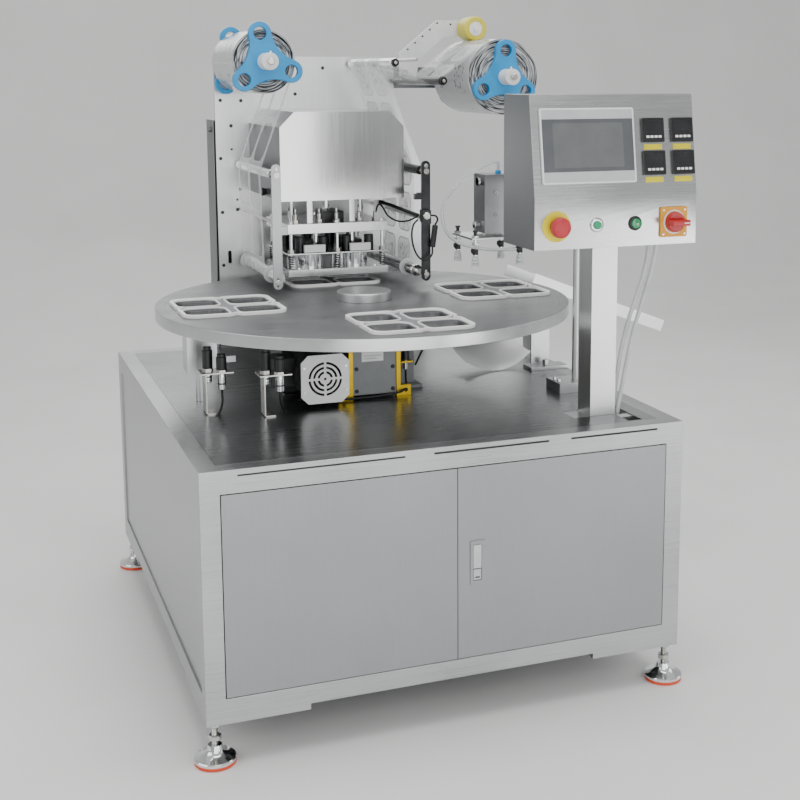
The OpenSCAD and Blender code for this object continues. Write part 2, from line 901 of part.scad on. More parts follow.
// Places children on the upper panel: x across, z up the slope, -y outwards
module on_upper(x, up) {
    translate([x, box_front, fold_z]) rotate([-upper_tilt, 0, 0]) translate([0, 0, up]) children();
}

module panel_fittings() {
    color("dimgray") placed() {
        on_upper(262, 98) {
            block([-101, -6, -73], [101, 0, 73]);
        }
        for (x = [405, 470], up = [62, 126]) on_upper(x, up) {
            block([-24, -7, -24], [24, 0, 24]);
            block([-20, -1.5, -38], [20, 0, -27]);
        }
        for (x = [button_x[0], button_x[1], button_x[2]])
            translate([x, 0, 0]) tube_y([0, panel_z], 14.5, 9, box_front - 4, box_front);
        tube_y([button_x[0], panel_z], 30, 14.5, box_front - 2, box_front);
        rod_y([button_x[2], panel_z], 9, box_front - 9, box_front + 20);
        difference() {
            block([button_x[3] - 30, box_front - 5, panel_z - 30],
                [button_x[3] + 30, box_front, panel_z + 30]);
            rod_y([button_x[3], panel_z], 6 + run_gap, box_front - 6, box_front + 1);
        }
    }
}

module estop_head() {
    color("red") placed() {
        translate([button_x[0], box_front - 12, panel_z]) rotate([90, 0, 0]) rotate_extrude()
            polygon([[0, 0], [18, 0], [20, 4], [20, 12], [17, 17], [8, 19], [0, 19]]);
        rod_y([button_x[0], panel_z], 8.9, box_front - 12, box_front + 10);
    }
}

module start_button() {
    color("green") placed() rod_y([button_x[1], panel_z], 8.9, box_front - 9, box_front + 10);
}

module isolator_knob() {
    color("firebrick") placed() {
        translate([button_x[3], 0, panel_z]) {
            rod_y([0, 0], 20, box_front - 16, box_front - 5.3);
            block([-20, box_front - 36, -6], [20, box_front - 16, 6]);
        }
        rod_y([button_x[3], panel_z], 6, box_front - 5.3, box_front + 12);
    }
}

module control_cables() {
    color("whitesmoke") placed() {
        cord(cable_a, cable_d);
        cord(cable_b, cable_d);
    }
}

// ---- vacuum pick-up ----

module pickup_column() {
    x = pick_column[0];
    y = pick_column[1];
    color("silver") placed() {
        difference() {
            block([365, -263, cab_z], [450, -190, cab_z + 22]);
            for (q = [[378, -235], [378, -212]])
                translate([q[0], q[1], cab_z + 12]) cylinder(d = 8, h = 20);
        }
        translate([x, y, cab_z + 22]) cylinder(r = 8, h = 1010 - cab_z - 22);
        difference() {
            block([x - 20, y - 20, 1010], [x + 20, y + 20, 1040]);
            translate([x, y, 1005]) cylinder(r = 6, h = 20);
        }
        block([x - 20, y + 20, 1015], [x - 8, 0, 1035]);
        block([350, 0, 1010], [x - 8, 12, 1040]);
        difference() {
            block([290, 0, 908], [350, 70, 1047]);
            for (q = [305, 335])
                translate([q, pick_y, 900]) cylinder(r = 5 + run_gap, h = 100);
        }
        for (z = [950, 1005]) rod_y([318, z], 3.5, -2, 0);
        translate([290, 20, 1030]) rotate([0, -90, 0]) cylinder(d1 = 16, d2 = 20, h = 12);
    }
}

module pickup_plate() {
    h = pick_half;
    color("silver") placed() {
        block([pick_x - 68, pick_y - 66, pick_plate_z], [pick_x + 68, pick_y + 66, pick_plate_z + 5]);
        for (q = [305, 335]) translate([q, pick_y, pick_plate_z + 5]) cylinder(r = 5, h = 85);
        for (x = [-h, h], y = [-h, h]) translate([pick_x + x, pick_y + y, 0]) {
            translate([0, 0, pick_low + 26]) cylinder(r = 4, h = pick_plate_z - pick_low - 26);
            translate([0, 0, pick_plate_z + 5]) cylinder(r = 4, h = 16);
            translate([0, 0, pick_low]) rotate_extrude()
                polygon([[0, 0], [10, 0], [8, 6], [10, 8], [7, 14], [8.5, 17], [5, 26], [0, 26]]);
        }
    }
}

module air_tube() {
    color("whitesmoke") placed() cord(air_route, tube_d);
}

// ---- discharge ----

module discharge_chute() {
    len_chute = (chute_end[0] - chute_start[0]) / cos(chute_slope);
    color("gainsboro") placed() {
        translate([chute_start[0], chute_y, chute_start[1]]) rotate([0, chute_slope, 0])
            difference() {
                cube([len_chute, chute_w, chute_wall]);
                translate([-1, sheet, sheet]) cube([len_chute + 2, chute_w - 2 * sheet, chute_wall]);
            }
        block([484, chute_y + 20, cab_z], [490, chute_y + 80, 751]);
    }
}

cabinet_frame();
top_sheet();
side_panels();
foot_pads();
levelling_feet();
left_door();
right_door();
door_hinges();
latch_button();
electrical_panel();
indexer_gearbox();
indexer_brackets();
gear_motor();
motor_fan();
fan_cowl();
turntable_spindle();
turntable();
hub_cap();
station_gaskets();
table_supports();
position_sensors();
sensor_cables();
back_plate();
rear_column();
press_cover();
press_cylinder();
press_rods();
head_plates();
sealing_dies();
head_springs();
pressure_plate();
film_side_bars();
film_shafts();
upper_left_roller();
lower_left_roller();
upper_right_roller();
lower_right_roller();
top_roller();
return_roller();
unwind_shaft();
unwind_clamps();
supply_film_roll();
rewind_shaft();
rewind_clamps();
waste_film_roll();
unwind_arm();
roller_arm();
measuring_roller();
film_web();
control_post();
control_box();
panel_fittings();
estop_head();
start_button();
isolator_knob();
control_cables();
pickup_column();
pickup_plate();
air_tube();
discharge_chute();
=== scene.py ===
"""Looks of a rotary cup sealing machine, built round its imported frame. Metres, +Z up, front towards -Y."""

import json
import math
import random

import bmesh
import bpy
from mathutils import Matrix, Vector

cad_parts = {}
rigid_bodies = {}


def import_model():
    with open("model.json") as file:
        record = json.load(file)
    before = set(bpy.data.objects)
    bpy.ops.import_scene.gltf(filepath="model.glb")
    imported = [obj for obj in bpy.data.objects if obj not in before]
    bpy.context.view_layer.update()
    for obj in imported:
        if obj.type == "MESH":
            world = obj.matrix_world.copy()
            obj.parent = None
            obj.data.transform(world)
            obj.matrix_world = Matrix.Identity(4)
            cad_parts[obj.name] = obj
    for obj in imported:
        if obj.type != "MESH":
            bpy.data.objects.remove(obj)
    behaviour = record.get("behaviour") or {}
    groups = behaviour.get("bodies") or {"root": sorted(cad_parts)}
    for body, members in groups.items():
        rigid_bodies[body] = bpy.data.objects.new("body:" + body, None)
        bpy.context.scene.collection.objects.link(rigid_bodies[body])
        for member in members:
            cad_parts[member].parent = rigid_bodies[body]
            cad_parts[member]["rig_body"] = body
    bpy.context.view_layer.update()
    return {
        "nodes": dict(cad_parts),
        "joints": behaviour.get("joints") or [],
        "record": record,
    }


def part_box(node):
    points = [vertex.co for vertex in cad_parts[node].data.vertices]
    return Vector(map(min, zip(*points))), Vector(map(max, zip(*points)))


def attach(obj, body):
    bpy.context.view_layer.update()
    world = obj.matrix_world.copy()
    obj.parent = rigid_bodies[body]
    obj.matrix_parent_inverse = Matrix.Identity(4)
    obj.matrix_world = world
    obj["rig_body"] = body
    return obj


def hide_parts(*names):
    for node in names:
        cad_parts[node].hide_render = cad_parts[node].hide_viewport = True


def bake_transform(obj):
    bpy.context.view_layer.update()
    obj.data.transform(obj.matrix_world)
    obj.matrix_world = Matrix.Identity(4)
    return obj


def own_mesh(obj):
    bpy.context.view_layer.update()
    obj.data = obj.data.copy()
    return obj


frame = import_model()

MM = 0.001
POCKET_PITCH = 116
NODES = frame["nodes"]
SLOTS = {part["node"]: part["material_slot"] for part in frame["record"]["subparts"]}
AXES = {j["name"]: Vector(j["pos_m"]) for j in frame["joints"] if "pos_m" in j}
CABINET_LOW, CABINET_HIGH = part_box("cabinet_frame")
CENTRE = (CABINET_LOW + CABINET_HIGH) / 2
NO_TURN = Matrix.Identity(4)
# Points closer than this are one, in metres
JOIN = 1e-6


def at(x, y, z):
    """A place given in millimetres from the middle of the cabinet and the floor."""
    return Vector((CENTRE.x + x * MM, CENTRE.y + y * MM, z * MM))


def moved(x, y, z):
    """A shift to a place in millimetres."""
    return Matrix.Translation(at(x, y, z))


def set_camera():
    """A standing person's eye, a little left of the cabinet, looking slightly down."""
    lens = bpy.data.cameras.new("camera")
    lens.lens, lens.sensor_width = 59.66, 36
    lens.shift_x, lens.shift_y = -0.0838, -0.1437
    camera = bpy.data.objects.new("camera", lens)
    camera.location = at(-896.4, -2884.7, 1279.3)
    camera.rotation_euler = (math.radians(80.99), 0, math.radians(-21.584))
    bpy.context.scene.collection.objects.link(camera)
    bpy.context.scene.camera = camera


set_camera()

# ---- materials ----


def linear(code):
    """A colour given as sRGB hex, as linear red, green, blue and alpha."""
    parts = [int(code[i:i + 2], 16) / 255 for i in (1, 3, 5)]
    return (*[p / 12.92 if p <= 0.04045 else ((p + 0.055) / 1.055) ** 2.4 for p in parts], 1)


def add(tree, kind, inputs=(), **settings):
    """Adds a node, with its properties, and with each input set or linked."""
    new = tree.nodes.new(kind)
    for name, value in settings.items():
        setattr(new, name, value)
    for name, value in dict(inputs).items():
        if isinstance(value, bpy.types.NodeSocket):
            tree.links.new(value, new.inputs[name])
        else:
            new.inputs[name].default_value = value
    return new


def number(tree, operation, *values):
    """What a Math node makes of numbers or sockets."""
    return add(tree, "ShaderNodeMath", enumerate(values), operation=operation).outputs[0]


def vector(tree, operation, *values):
    """What a Vector Math node makes of vectors or sockets."""
    made = add(tree, "ShaderNodeVectorMath", enumerate(values), operation=operation)
    return made.outputs["Value" if operation == "LENGTH" else 0]


def material(name, **constants):
    """A new material with its shader's constant values on the shader's own sockets."""
    made = bpy.data.materials.new(name)
    made.use_nodes = True
    shader = made.node_tree.nodes["Principled BSDF"]
    for socket, value in constants.items():
        shader.inputs[socket.replace("_", " ")].default_value = value
    return made, made.node_tree, shader


def spots(tree, size_mm, detail=3, source=None):
    """Noise on the piece's own coordinates, whose grain is size_mm along X, Y and Z."""
    where = source or add(tree, "ShaderNodeTexCoord").outputs["Object"]
    scale = [1 / (s * MM) for s in size_mm]
    turned = add(tree, "ShaderNodeMapping", {"Vector": where, "Scale": scale})
    noise = add(tree, "ShaderNodeTexNoise", {"Vector": turned.outputs[0], "Scale": 1, "Detail": detail})
    return noise.outputs["Fac"]


def between(tree, factor, low, high, start=0.3, end=0.7):
    """A number that runs from low to high as the factor goes from start to end."""
    given = {"Value": factor, "From Min": start, "From Max": end, "To Min": low, "To Max": high}
    return add(tree, "ShaderNodeMapRange", given).outputs[0]


def shade(tree, factor, first, second, start=0.3, end=0.7):
    """A colour between two hex colours, by a factor."""
    share = between(tree, factor, 0, 1, start, end)
    given = {0: share, 6: linear(first), 7: linear(second)}
    return add(tree, "ShaderNodeMix", given, data_type="RGBA").outputs[2]


def relief(tree, shader, height, depth_mm):
    """Fine relief on the surface, depth_mm deep."""
    bump = add(tree, "ShaderNodeBump", {"Height": height, "Strength": 0.6, "Distance": depth_mm * MM})
    tree.links.new(bump.outputs[0], shader.inputs["Normal"])


def tone(tree, shader, factor, dark, light, smooth, rough, start, end):
    """Colour and roughness that change together with one factor."""
    tree.links.new(shade(tree, factor, dark, light, start, end), shader.inputs["Base Color"])
    tree.links.new(between(tree, factor, smooth, rough, start, end), shader.inputs["Roughness"])


def from_centre(tree, centre):
    """Places on the piece, measured from a centre."""
    return vector(tree, "SUBTRACT", add(tree, "ShaderNodeTexCoord").outputs["Object"], centre)


def brushed(name, dark, light, rough, along, line=1.4, depth=0.004):
    """Stainless steel sheet rubbed with a belt: long fine lines one way, and broad soft smudges.

    Real lines are 0.1 mm apart, so they are drawn coarser, to show at all."""
    made, tree, shader = material(name, Metallic=1.0)
    lines = spots(tree, [90 * line if axis == along else line for axis in "XYZ"], 3)
    smudges = spots(tree, (230, 230, 230), 2)
    both = number(tree, "ADD", lines, smudges)
    tone(tree, shader, both, dark, light, rough - 0.05, rough + 0.06, 0.6, 1.4)
    relief(tree, shader, lines, depth)
    return made


def turned_face(name, dark, light, rough, centre, ring=5):
    """Aluminium faced on a lathe: fine rings about its middle, which blur what it mirrors."""
    made, tree, shader = material(name, Metallic=1.0)
    flat = vector(tree, "MULTIPLY", from_centre(tree, centre), (1, 1, 0))
    radius = vector(tree, "LENGTH", flat)
    rings = add(tree, "ShaderNodeTexNoise", {"W": radius, "Scale": 1 / (ring * MM), "Detail": 3},
                noise_dimensions="1D").outputs["Fac"]
    smudges = spots(tree, (130, 70, 130), 3)
    both = number(tree, "ADD", rings, smudges)
    tree.links.new(shade(tree, both, dark, light, 0.75, 1.25), shader.inputs["Base Color"])
    tree.links.new(between(tree, smudges, rough - 0.06, rough + 0.1), shader.inputs["Roughness"])
    relief(tree, shader, rings, 0.002)
    return made


def bare_metal(name, dark, light, rough, grain=12):
    """Polished, ground or plated metal, with a faint cloudiness from handling."""
    made, tree, shader = material(name, Metallic=1.0)
    clouds = spots(tree, (grain, grain, grain), 2)
    tone(tree, shader, clouds, dark, light, max(rough - 0.03, 0.03), rough + 0.04, 0.1, 0.9)
    return made


def moulded(name, dark, light, rough, grain=1.6, depth=0.02, **constants):
    """Moulded plastic, rubber or paint: an even colour with a fine skin, and dust in places."""
    made, tree, shader = material(name, **constants)
    skin = spots(tree, (grain, grain, grain), 2)
    dust = spots(tree, (45, 45, 45), 3)
    tone(tree, shader, dust, dark, light, rough - 0.04, rough + 0.06, 0.2, 0.8)
    relief(tree, shader, skin, depth)
    return made


TABLE_AXIS = AXES["turntable_spin"]
# Grade 304 stainless sheet, belt-brushed: mid grey, soft long reflections.
STEEL_RAIL = brushed("brushed_stainless_rail", "#a8a9aa", "#c4c5c6", 0.3, "X")
STEEL_DOOR = brushed("brushed_stainless_door", "#97989a", "#a1a2a4", 0.42, "Z", 1.2)
STEEL_SIDE = brushed("brushed_stainless_side", "#a4a5a6", "#b6b7b8", 0.33, "Z")
STEEL_TOP = brushed("worn_stainless_worktop", "#8b8d8e", "#a8aaab", 0.27, "X", 2)
STEEL_BRIGHT = brushed("bright_stainless_plate", "#d6d7d7", "#ebebeb", 0.36, "Z")
STEEL_COVER = brushed("polished_stainless_cover", "#dededd", "#ececeb", 0.17, "Z", 2, 0.002)
# A darker, rougher copy of the stainless: painted shade on the rear column and on the left sides of the press
# cover and operator box; the unwind arm takes it as dull stainless.
DULL_AND_SHADED_STEEL = brushed("dull_stainless_and_painted_shade", "#77797a", "#85878a", 0.4, "Z")
STEEL_BOX = brushed("brushed_stainless_operator_box", "#bdbebe", "#cfd0d0", 0.26, "X", 1.2)
# Ground and plated steel parts: brighter, tighter reflections.
GROUND = bare_metal("ground_steel", "#d6d7d7", "#ececec", 0.2, 30)
CHROME = bare_metal("hard_chrome", "#d6d8da", "#efefef", 0.09, 40)
NICKEL = bare_metal("nickel_plated_steel", "#b9b8b4", "#d0cfcb", 0.22, 20)
DARK_STEEL = bare_metal("blackened_steel", "#333435", "#474849", 0.32, 20)
ALUMINIUM = bare_metal("machined_aluminium", "#c2c3c4", "#d4d5d6", 0.3, 40)
GREY_ANODISED = bare_metal("grey_anodised_aluminium", "#7e8081", "#8c8e8f", 0.34, 40)
TURNED = turned_face("turned_aluminium", "#868788", "#929394", 0.44, TABLE_AXIS)
TURNED_CAP = turned_face("turned_aluminium_cap", "#b9babb", "#d2d3d3", 0.3, TABLE_AXIS, 3)
GOLD_ZINC = bare_metal("yellow_passivated_zinc", "#c2a01f", "#dcbc35", 0.4, 24)
# Paints, plastics and rubbers.
GREY_PAINT = moulded("hammered_grey_paint", "#7a7d7e", "#8a8d8e", 0.45, 1.2, 0.08)
BLACK_PAINT = moulded("black_machine_paint", "#141517", "#26282b", 0.35, 1.5, 0.05)
BLACK_ABS = moulded("black_abs", "#0e0f10", "#1d1e20", 0.38)
WHITE_ABS = moulded("white_abs", "#dfe0e0", "#f2f2f1", 0.36)
GREY_ABS = moulded("silver_grey_abs", "#b3b5b6", "#c3c5c6", 0.34)
RED_ABS = moulded("red_abs", "#a5060f", "#bd1019", 0.3)
DULL_RED = moulded("dull_red_abs", "#b0222c", "#c0343c", 0.42)
GREEN_ABS = moulded("green_abs", "#138a5c", "#25a673", 0.34)
YELLOW_ABS = moulded("yellow_abs", "#dccb0c", "#e8da1e", 0.4)
AMBER_ABS = moulded("amber_abs", "#cf8d06", "#dfa012", 0.38)
BLUE_NYLON = moulded("sky_blue_nylon", "#0086c4", "#0f9ad8", 0.36, 1.4, 0.015)
SILICONE = moulded("white_silicone", "#e9e9e7", "#fafaf8", 0.4, 2, 0.02)
ORANGE_RUBBER = moulded("orange_polyurethane", "#c8330c", "#dd4a1c", 0.45)
YELLOW_RUBBER = moulded("yellow_polyurethane", "#cdc02e", "#dcd04a", 0.36)
BLACK_RUBBER = moulded("black_rubber", "#0f0f10", "#1c1c1d", 0.55)
GREY_PVC = moulded("grey_pvc_sheath", "#b9bbbc", "#d9dadb", 0.42)
# Painted shadow: the grey laid inside each station stands for the shade in its recess.
SHADOW_GREY = moulded("painted_shadow_bed", "#77797b", "#8a8c8e", 0.5)
FROSTED = moulded("frosted_silicone", "#d5d8d8", "#eef0f0", 0.34, Transmission_Weight=0.35)
CLEAR_TUBE = moulded("clear_polyurethane_hose", "#dfe3e4", "#f3f5f5", 0.16, Transmission_Weight=0.6)
SCREEN = moulded("dark_touch_glass", "#5f6163", "#6b6d6f", 0.2, 3, 0.0, Coat_Weight=0.5)
DISPLAY_RIM = moulded("grey_touch_glass_border", "#55575a", "#5f6164", 0.22, 3, 0.0)
DISPLAY = moulded("black_display_window", "#1c1d1f", "#2a2c2e", 0.25, 3, 0.0)
LENS = moulded("green_lamp_lens", "#0f7a45", "#2fbf75", 0.1, Transmission_Weight=0.25, Coat_Weight=1.0)


def rolled_film(name, centre):
    """Wound packing film seen from its end: layers round the core, light and dark, broken and uneven."""
    made, tree, shader = material(name, Roughness=0.32)
    parts = add(tree, "ShaderNodeSeparateXYZ", {0: from_centre(tree, centre)})
    x, z = parts.outputs["X"], parts.outputs["Z"]
    flat = add(tree, "ShaderNodeCombineXYZ", {"X": x, "Y": z}).outputs[0]
    radius = vector(tree, "LENGTH", flat)
    turn = number(tree, "ARCTAN2", z, x)
    rim = add(tree, "ShaderNodeCombineXYZ", {"X": radius, "Y": turn}).outputs[0]
    drawn_out = add(tree, "ShaderNodeMapping", {"Vector": rim, "Scale": (1 / (3.2 * MM), 1.6, 1)}).outputs[0]
    layers = add(tree, "ShaderNodeTexNoise", {"Vector": drawn_out, "Scale": 1, "Detail": 4,
                                              "Distortion": 0.6}).outputs["Fac"]
    tree.links.new(shade(tree, layers, "#1d1f21", "#d4d7d7", 0.42, 0.66), shader.inputs["Base Color"])
    relief(tree, shader, layers, 0.3)
    return made


def film(name, clear, print_dark, plain="#e4e6e6"):
    """Clear lidding film about 0.05 mm thick: see-through, glossy and wrinkled, with pale printed lids.

    Its map runs along the film and across it, in metres, so the lids repeat at the pocket pitch."""
    made, tree, shader = material(name, Roughness=0.14, IOR=1.45)
    where = add(tree, "ShaderNodeUVMap", uv_map="film").outputs[0]
    per_lid = 1 / (POCKET_PITCH * MM)
    cell = vector(tree, "FRACTION", vector(tree, "MULTIPLY", where, (per_lid, per_lid, 0)))
    middle = vector(tree, "SUBTRACT", cell, (0.5, 0.5, 0))
    side = vector(tree, "ABSOLUTE", middle)
    past = vector(tree, "SUBTRACT", side, (0.22, 0.2, 0))
    corner = vector(tree, "MAXIMUM", past, (0, 0, 0))
    edge = vector(tree, "LENGTH", corner)
    lid = between(tree, edge, 1, 0, 0.19, 0.2)
    line = number(tree, "COMPARE", edge, 0.195, 0.012)
    marks = spots(tree, (14, 7, 1), 4, source=where)
    words = between(tree, marks, 0, 1, 0.56, 0.6)
    inner = between(tree, edge, 1, 0, 0.05, 0.1)
    printed = number(tree, "MULTIPLY", words, inner)
    tint = add(tree, "ShaderNodeMix", {0: printed, 6: linear(plain), 7: linear(print_dark)}, data_type="RGBA")
    tree.links.new(tint.outputs[2], shader.inputs["Base Color"])
    faint = between(tree, lid, clear, clear + 0.22, 0, 1)
    strong = number(tree, "MAXIMUM", line, printed)
    cover = number(tree, "MULTIPLY", strong, 0.75)
    solid = number(tree, "MAXIMUM", faint, cover)
    tree.links.new(solid, shader.inputs["Alpha"])
    wrinkles = spots(tree, (60, 18, 1), 3, source=where)
    relief(tree, shader, wrinkles, 2)
    return made


FILM_EDGES = {joint: rolled_film("wound_film_edge_" + joint[:6], AXES[joint]) for joint in ("unwind_spin",
                                                                                            "rewind_spin")}
PRINTED_FILM = film("printed_lidding_film", 0.13, "#6d7173")
PUNCHED_FILM = film("punched_lidding_film", 0.3, "#9a9d9e")
ROLL_FACE = film("wound_printed_film", 0.97, "#45484a", "#b4b7b8")

# ---- shapes ----

ALONG_Y = Matrix.Rotation(math.radians(-90), 4, "X")
TO_FRONT = Matrix.Rotation(math.radians(90), 4, "X")
TO_LEFT = Matrix.Rotation(math.radians(-90), 4, "Y")
# A drawing in X and Z, whose thickness runs back along Y
UPRIGHT = Matrix(((1, 0, 0, 0), (0, 0, 1, 0), (0, 1, 0, 0), (0, 0, 0, 1)))


def mesh_of(shape):
    """A bmesh made a mesh, and freed."""
    mesh = bpy.data.meshes.new("shape")
    shape.to_mesh(mesh)
    shape.free()
    return mesh


def block(low, high, edge=0.6):
    """A bar or plate between two corners, with its edges broken by edge millimetres."""
    low, high = Vector(low), Vector(high)
    size = high - low
    shape = bmesh.new()
    place = Matrix.Translation((low + high) / 2) @ Matrix.Diagonal((*size, 1))
    bmesh.ops.create_cube(shape, size=1, matrix=place)
    edge = min(edge * MM, min(abs(s) for s in size) * 0.4)
    bmesh.ops.bevel(shape, geom=shape.edges[:], offset=edge, segments=2, profile=0.5, affect="EDGES")
    return shape


def turning(profile, steps):
    """A shape turned about Z from (radius, height) points in millimetres.

    A profile that starts off the axis closes on itself, and leaves a bore."""
    shape = bmesh.new()
    rings = []
    for k in range(steps):
        a = 2 * math.pi * k / steps
        rings.append([shape.verts.new((r * MM * math.cos(a), r * MM * math.sin(a), h * MM)) for r,
                      h in profile])
    spans = len(profile) - (profile[0][0] == 0)
    for k in range(steps):
        here, there = rings[k], rings[(k + 1) % steps]
        for i in range(spans):
            j = (i + 1) % len(profile)
            shape.faces.new((here[i], there[i], there[j], here[j]))
    return shape


def rod(r, low, high):
    """The profile of a plain round bar, for turning."""
    return [(0, low), (r, low), (r, high), (0, high)]


def ring(inner, outer, low, high):
    """The closed profile of a plain ring, for turning."""
    return [(inner, low), (outer, low), (outer, high), (inner, high)]


def rounded(w, h, r, middle=(0, 0)):
    """A rectangle with round corners, in millimetres."""
    found, steps = [], 6
    for k, (sx, sy) in enumerate(((1, 1), (-1, 1), (-1, -1), (1, -1))):
        x, y = middle[0] + sx * (w / 2 - r), middle[1] + sy * (h / 2 - r)
        turns = [math.pi / 2 * (k + i / steps) for i in range(steps + 1)]
        found += [(x + r * math.cos(a), y + r * math.sin(a)) for a in turns]
    return found


def circle(r, middle=(0, 0), steps=32):
    """A round outline in millimetres."""
    turns = [2 * math.pi * i / steps for i in range(steps)]
    return [(middle[0] + r * math.cos(a), middle[1] + r * math.sin(a)) for a in turns]


def drawn(outlines, half=0, edge=0):
    """Closed outlines in millimetres, the first a rim and the rest holes, filled and half thick each way."""
    drawing = bpy.data.curves.new("outline", "CURVE")
    drawing.dimensions, drawing.fill_mode = "2D", "BOTH"
    drawing.extrude = half * MM
    drawing.bevel_depth, drawing.offset, drawing.bevel_resolution = edge * MM, -edge * MM, 1
    for points in outlines:
        line = drawing.splines.new("POLY")
        line.points.add(len(points) - 1)
        line.points.foreach_set("co", [c for p in points for c in (p[0] * MM, p[1] * MM, 0, 1)])
        line.use_cyclic_u = True
    holder = bpy.data.objects.new("outline", drawing)
    mesh = bpy.data.meshes.new_from_object(holder)
    shape = bmesh.new()
    shape.from_mesh(mesh)
    bpy.data.meshes.remove(mesh)
    bpy.data.objects.remove(holder)
    bpy.data.curves.remove(drawing)
    return shape


def slab(outlines, low, high, edge=0.4):
    """A flat plate from low to high, from closed outlines, the first its rim and the rest holes."""
    shape = drawn(outlines, max((high - low) / 2 - edge, 0.01), edge)
    shape.transform(Matrix.Translation((0, 0, (low + high) / 2 * MM)))
    return shape


def smooth_line(points, per_span=4):
    """More points along one smooth curve through the given ones."""
    ends = [points[0] * 2 - points[1], *points, points[-1] * 2 - points[-2]]
    found = []
    for a, b, c, d in zip(ends, ends[1:], ends[2:], ends[3:]):
        for i in range(per_span):
            t = i / per_span
            found.append(0.5 * (2 * b + (c - a) * t + (2 * a - 5 * b + 4 * c - d) * t * t
                                + (3 * b - a - 3 * c + d) * t ** 3))
    return [*found, points[-1]]


def hose(points, radius, sides=12, per_span=4):
    """A round cord, wire or hose of radius millimetres along points in metres."""
    line = smooth_line([Vector(p) for p in points], per_span)
    shape = bmesh.new()
    side = (line[1] - line[0]).orthogonal().normalized()
    rings = []
    for i, p in enumerate(line):
        ahead = (line[min(i + 1, len(line) - 1)] - line[max(i - 1, 0)]).normalized()
        side = (side - ahead * side.dot(ahead)).normalized()
        other = ahead.cross(side)
        turns = [2 * math.pi * k / sides for k in range(sides)]
        rings.append([shape.verts.new(p + radius * MM * (math.cos(a) * side + math.sin(a) * other))
                      for a in turns])
    for here, there in zip(rings, rings[1:]):
        for k in range(sides):
            m = (k + 1) % sides
            shape.faces.new((here[k], here[m], there[m], there[k]))
    shape.faces.new(rings[0])
    shape.faces.new(rings[-1])
    return shape


class Piece:
    """Shapes that move together, each with its material, made into one mesh that rides on a body."""

    def __init__(self, name, body, slot, *replaced):
        self.name, self.body, self.slot, self.replaced = name, body, slot, replaced
        self.whole, self.finishes = bmesh.new(), []

    def add(self, shape, finish, *places):
        """Takes in a closed shape once, or once at each place."""
        if finish not in self.finishes:
            self.finishes.append(finish)
        bmesh.ops.remove_doubles(shape, verts=shape.verts, dist=JOIN)
        mesh = mesh_of(shape)
        for place in places or [NO_TURN]:
            copy = bmesh.new()
            copy.from_mesh(mesh)
            copy.transform(place)
            bmesh.ops.recalc_face_normals(copy, faces=copy.faces)
            for face in copy.faces:
                face.material_index = self.finishes.index(finish)
            placed = mesh_of(copy)
            self.whole.from_mesh(placed)
            bpy.data.meshes.remove(placed)
        bpy.data.meshes.remove(mesh)
        return self

    def bar(self, finish, low, high, edge=0.4):
        """Takes in a bar or plate between two corners in millimetres."""
        return self.add(block(at(*low), at(*high), edge), finish)

    def turned(self, finish, profile, *places, steps=24):
        """Takes in a turned shape at each place."""
        return self.add(turning(profile, steps), finish, *places)

    def wire(self, finish, radius, *route):
        """Takes in a round wire or hose through points in millimetres."""
        return self.add(hose([at(*p) for p in route], radius), finish)

    def done(self, sharp=35):
        """Makes the mesh, smooth but for edges sharper than sharp degrees, and sets what it rides on."""
        mesh = mesh_of(self.whole)
        for finish in self.finishes:
            mesh.materials.append(finish)
        return place_mesh(mesh, self.name, self.body, self.replaced, sharp)


def place_mesh(mesh, name, body, replaced=(), sharp=35):
    """Shades broad faces flat and their broken edges round, and puts the mesh on its body."""
    mesh.polygons.foreach_set("use_smooth", [True] * len(mesh.polygons))
    mesh.set_sharp_from_angle(angle=math.radians(sharp))
    mesh = evaluated(mesh, [("WEIGHTED_NORMAL", {"keep_sharp": True})])
    mesh.name = name
    piece = bpy.data.objects.new(name, mesh)
    bpy.context.scene.collection.objects.link(piece)
    if replaced:
        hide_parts(*replaced)
    if body:
        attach(piece, body)
    return piece


def evaluated(mesh, modifiers):
    """The mesh with modifiers applied, each given as its type and its settings."""
    holder = bpy.data.objects.new("raw", mesh)
    bpy.context.scene.collection.objects.link(holder)
    for kind, settings in modifiers:
        modifier = holder.modifiers.new(kind, kind)
        for key, value in settings.items():
            if key.startswith("Socket"):
                modifier[key] = value
            else:
                setattr(modifier, key, value)
    ready = holder.evaluated_get(bpy.context.evaluated_depsgraph_get())
    made = bpy.data.meshes.new_from_object(ready)
    bpy.data.objects.remove(holder)
    return made


def softened(node, finish, edge=0.8, second=None, where=None):
    """A CAD piece with its sharp edges broken, as filing, folding or moulding leaves them.

    Faces whose middle passes where() take the second finish."""
    shape = bmesh.new()
    shape.from_mesh(NODES[node].data)
    bmesh.ops.remove_doubles(shape, verts=shape.verts, dist=JOIN)
    bmesh.ops.dissolve_limit(shape, angle_limit=math.radians(1), verts=shape.verts, edges=shape.edges)
    for face in shape.faces:
        face.material_index = int(bool(where and where(face.calc_center_median())))
    mesh = mesh_of(shape)
    mesh.materials.append(finish)
    if second:
        mesh.materials.append(second)
    broken = {"width": edge * MM, "segments": 2, "limit_method": "ANGLE", "angle_limit": math.radians(40)}
    made = evaluated(mesh, [("BEVEL", broken)])
    return place_mesh(made, node + "_finished", NODES[node]["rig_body"], [node])


def finish_node(finish, *nodes):
    """Keeps the CAD shape of nodes, and gives them a material."""
    for node in nodes:
        for slot in NODES[node].material_slots:
            slot.material = finish


# ---- repeated small parts, by Geometry Nodes ----


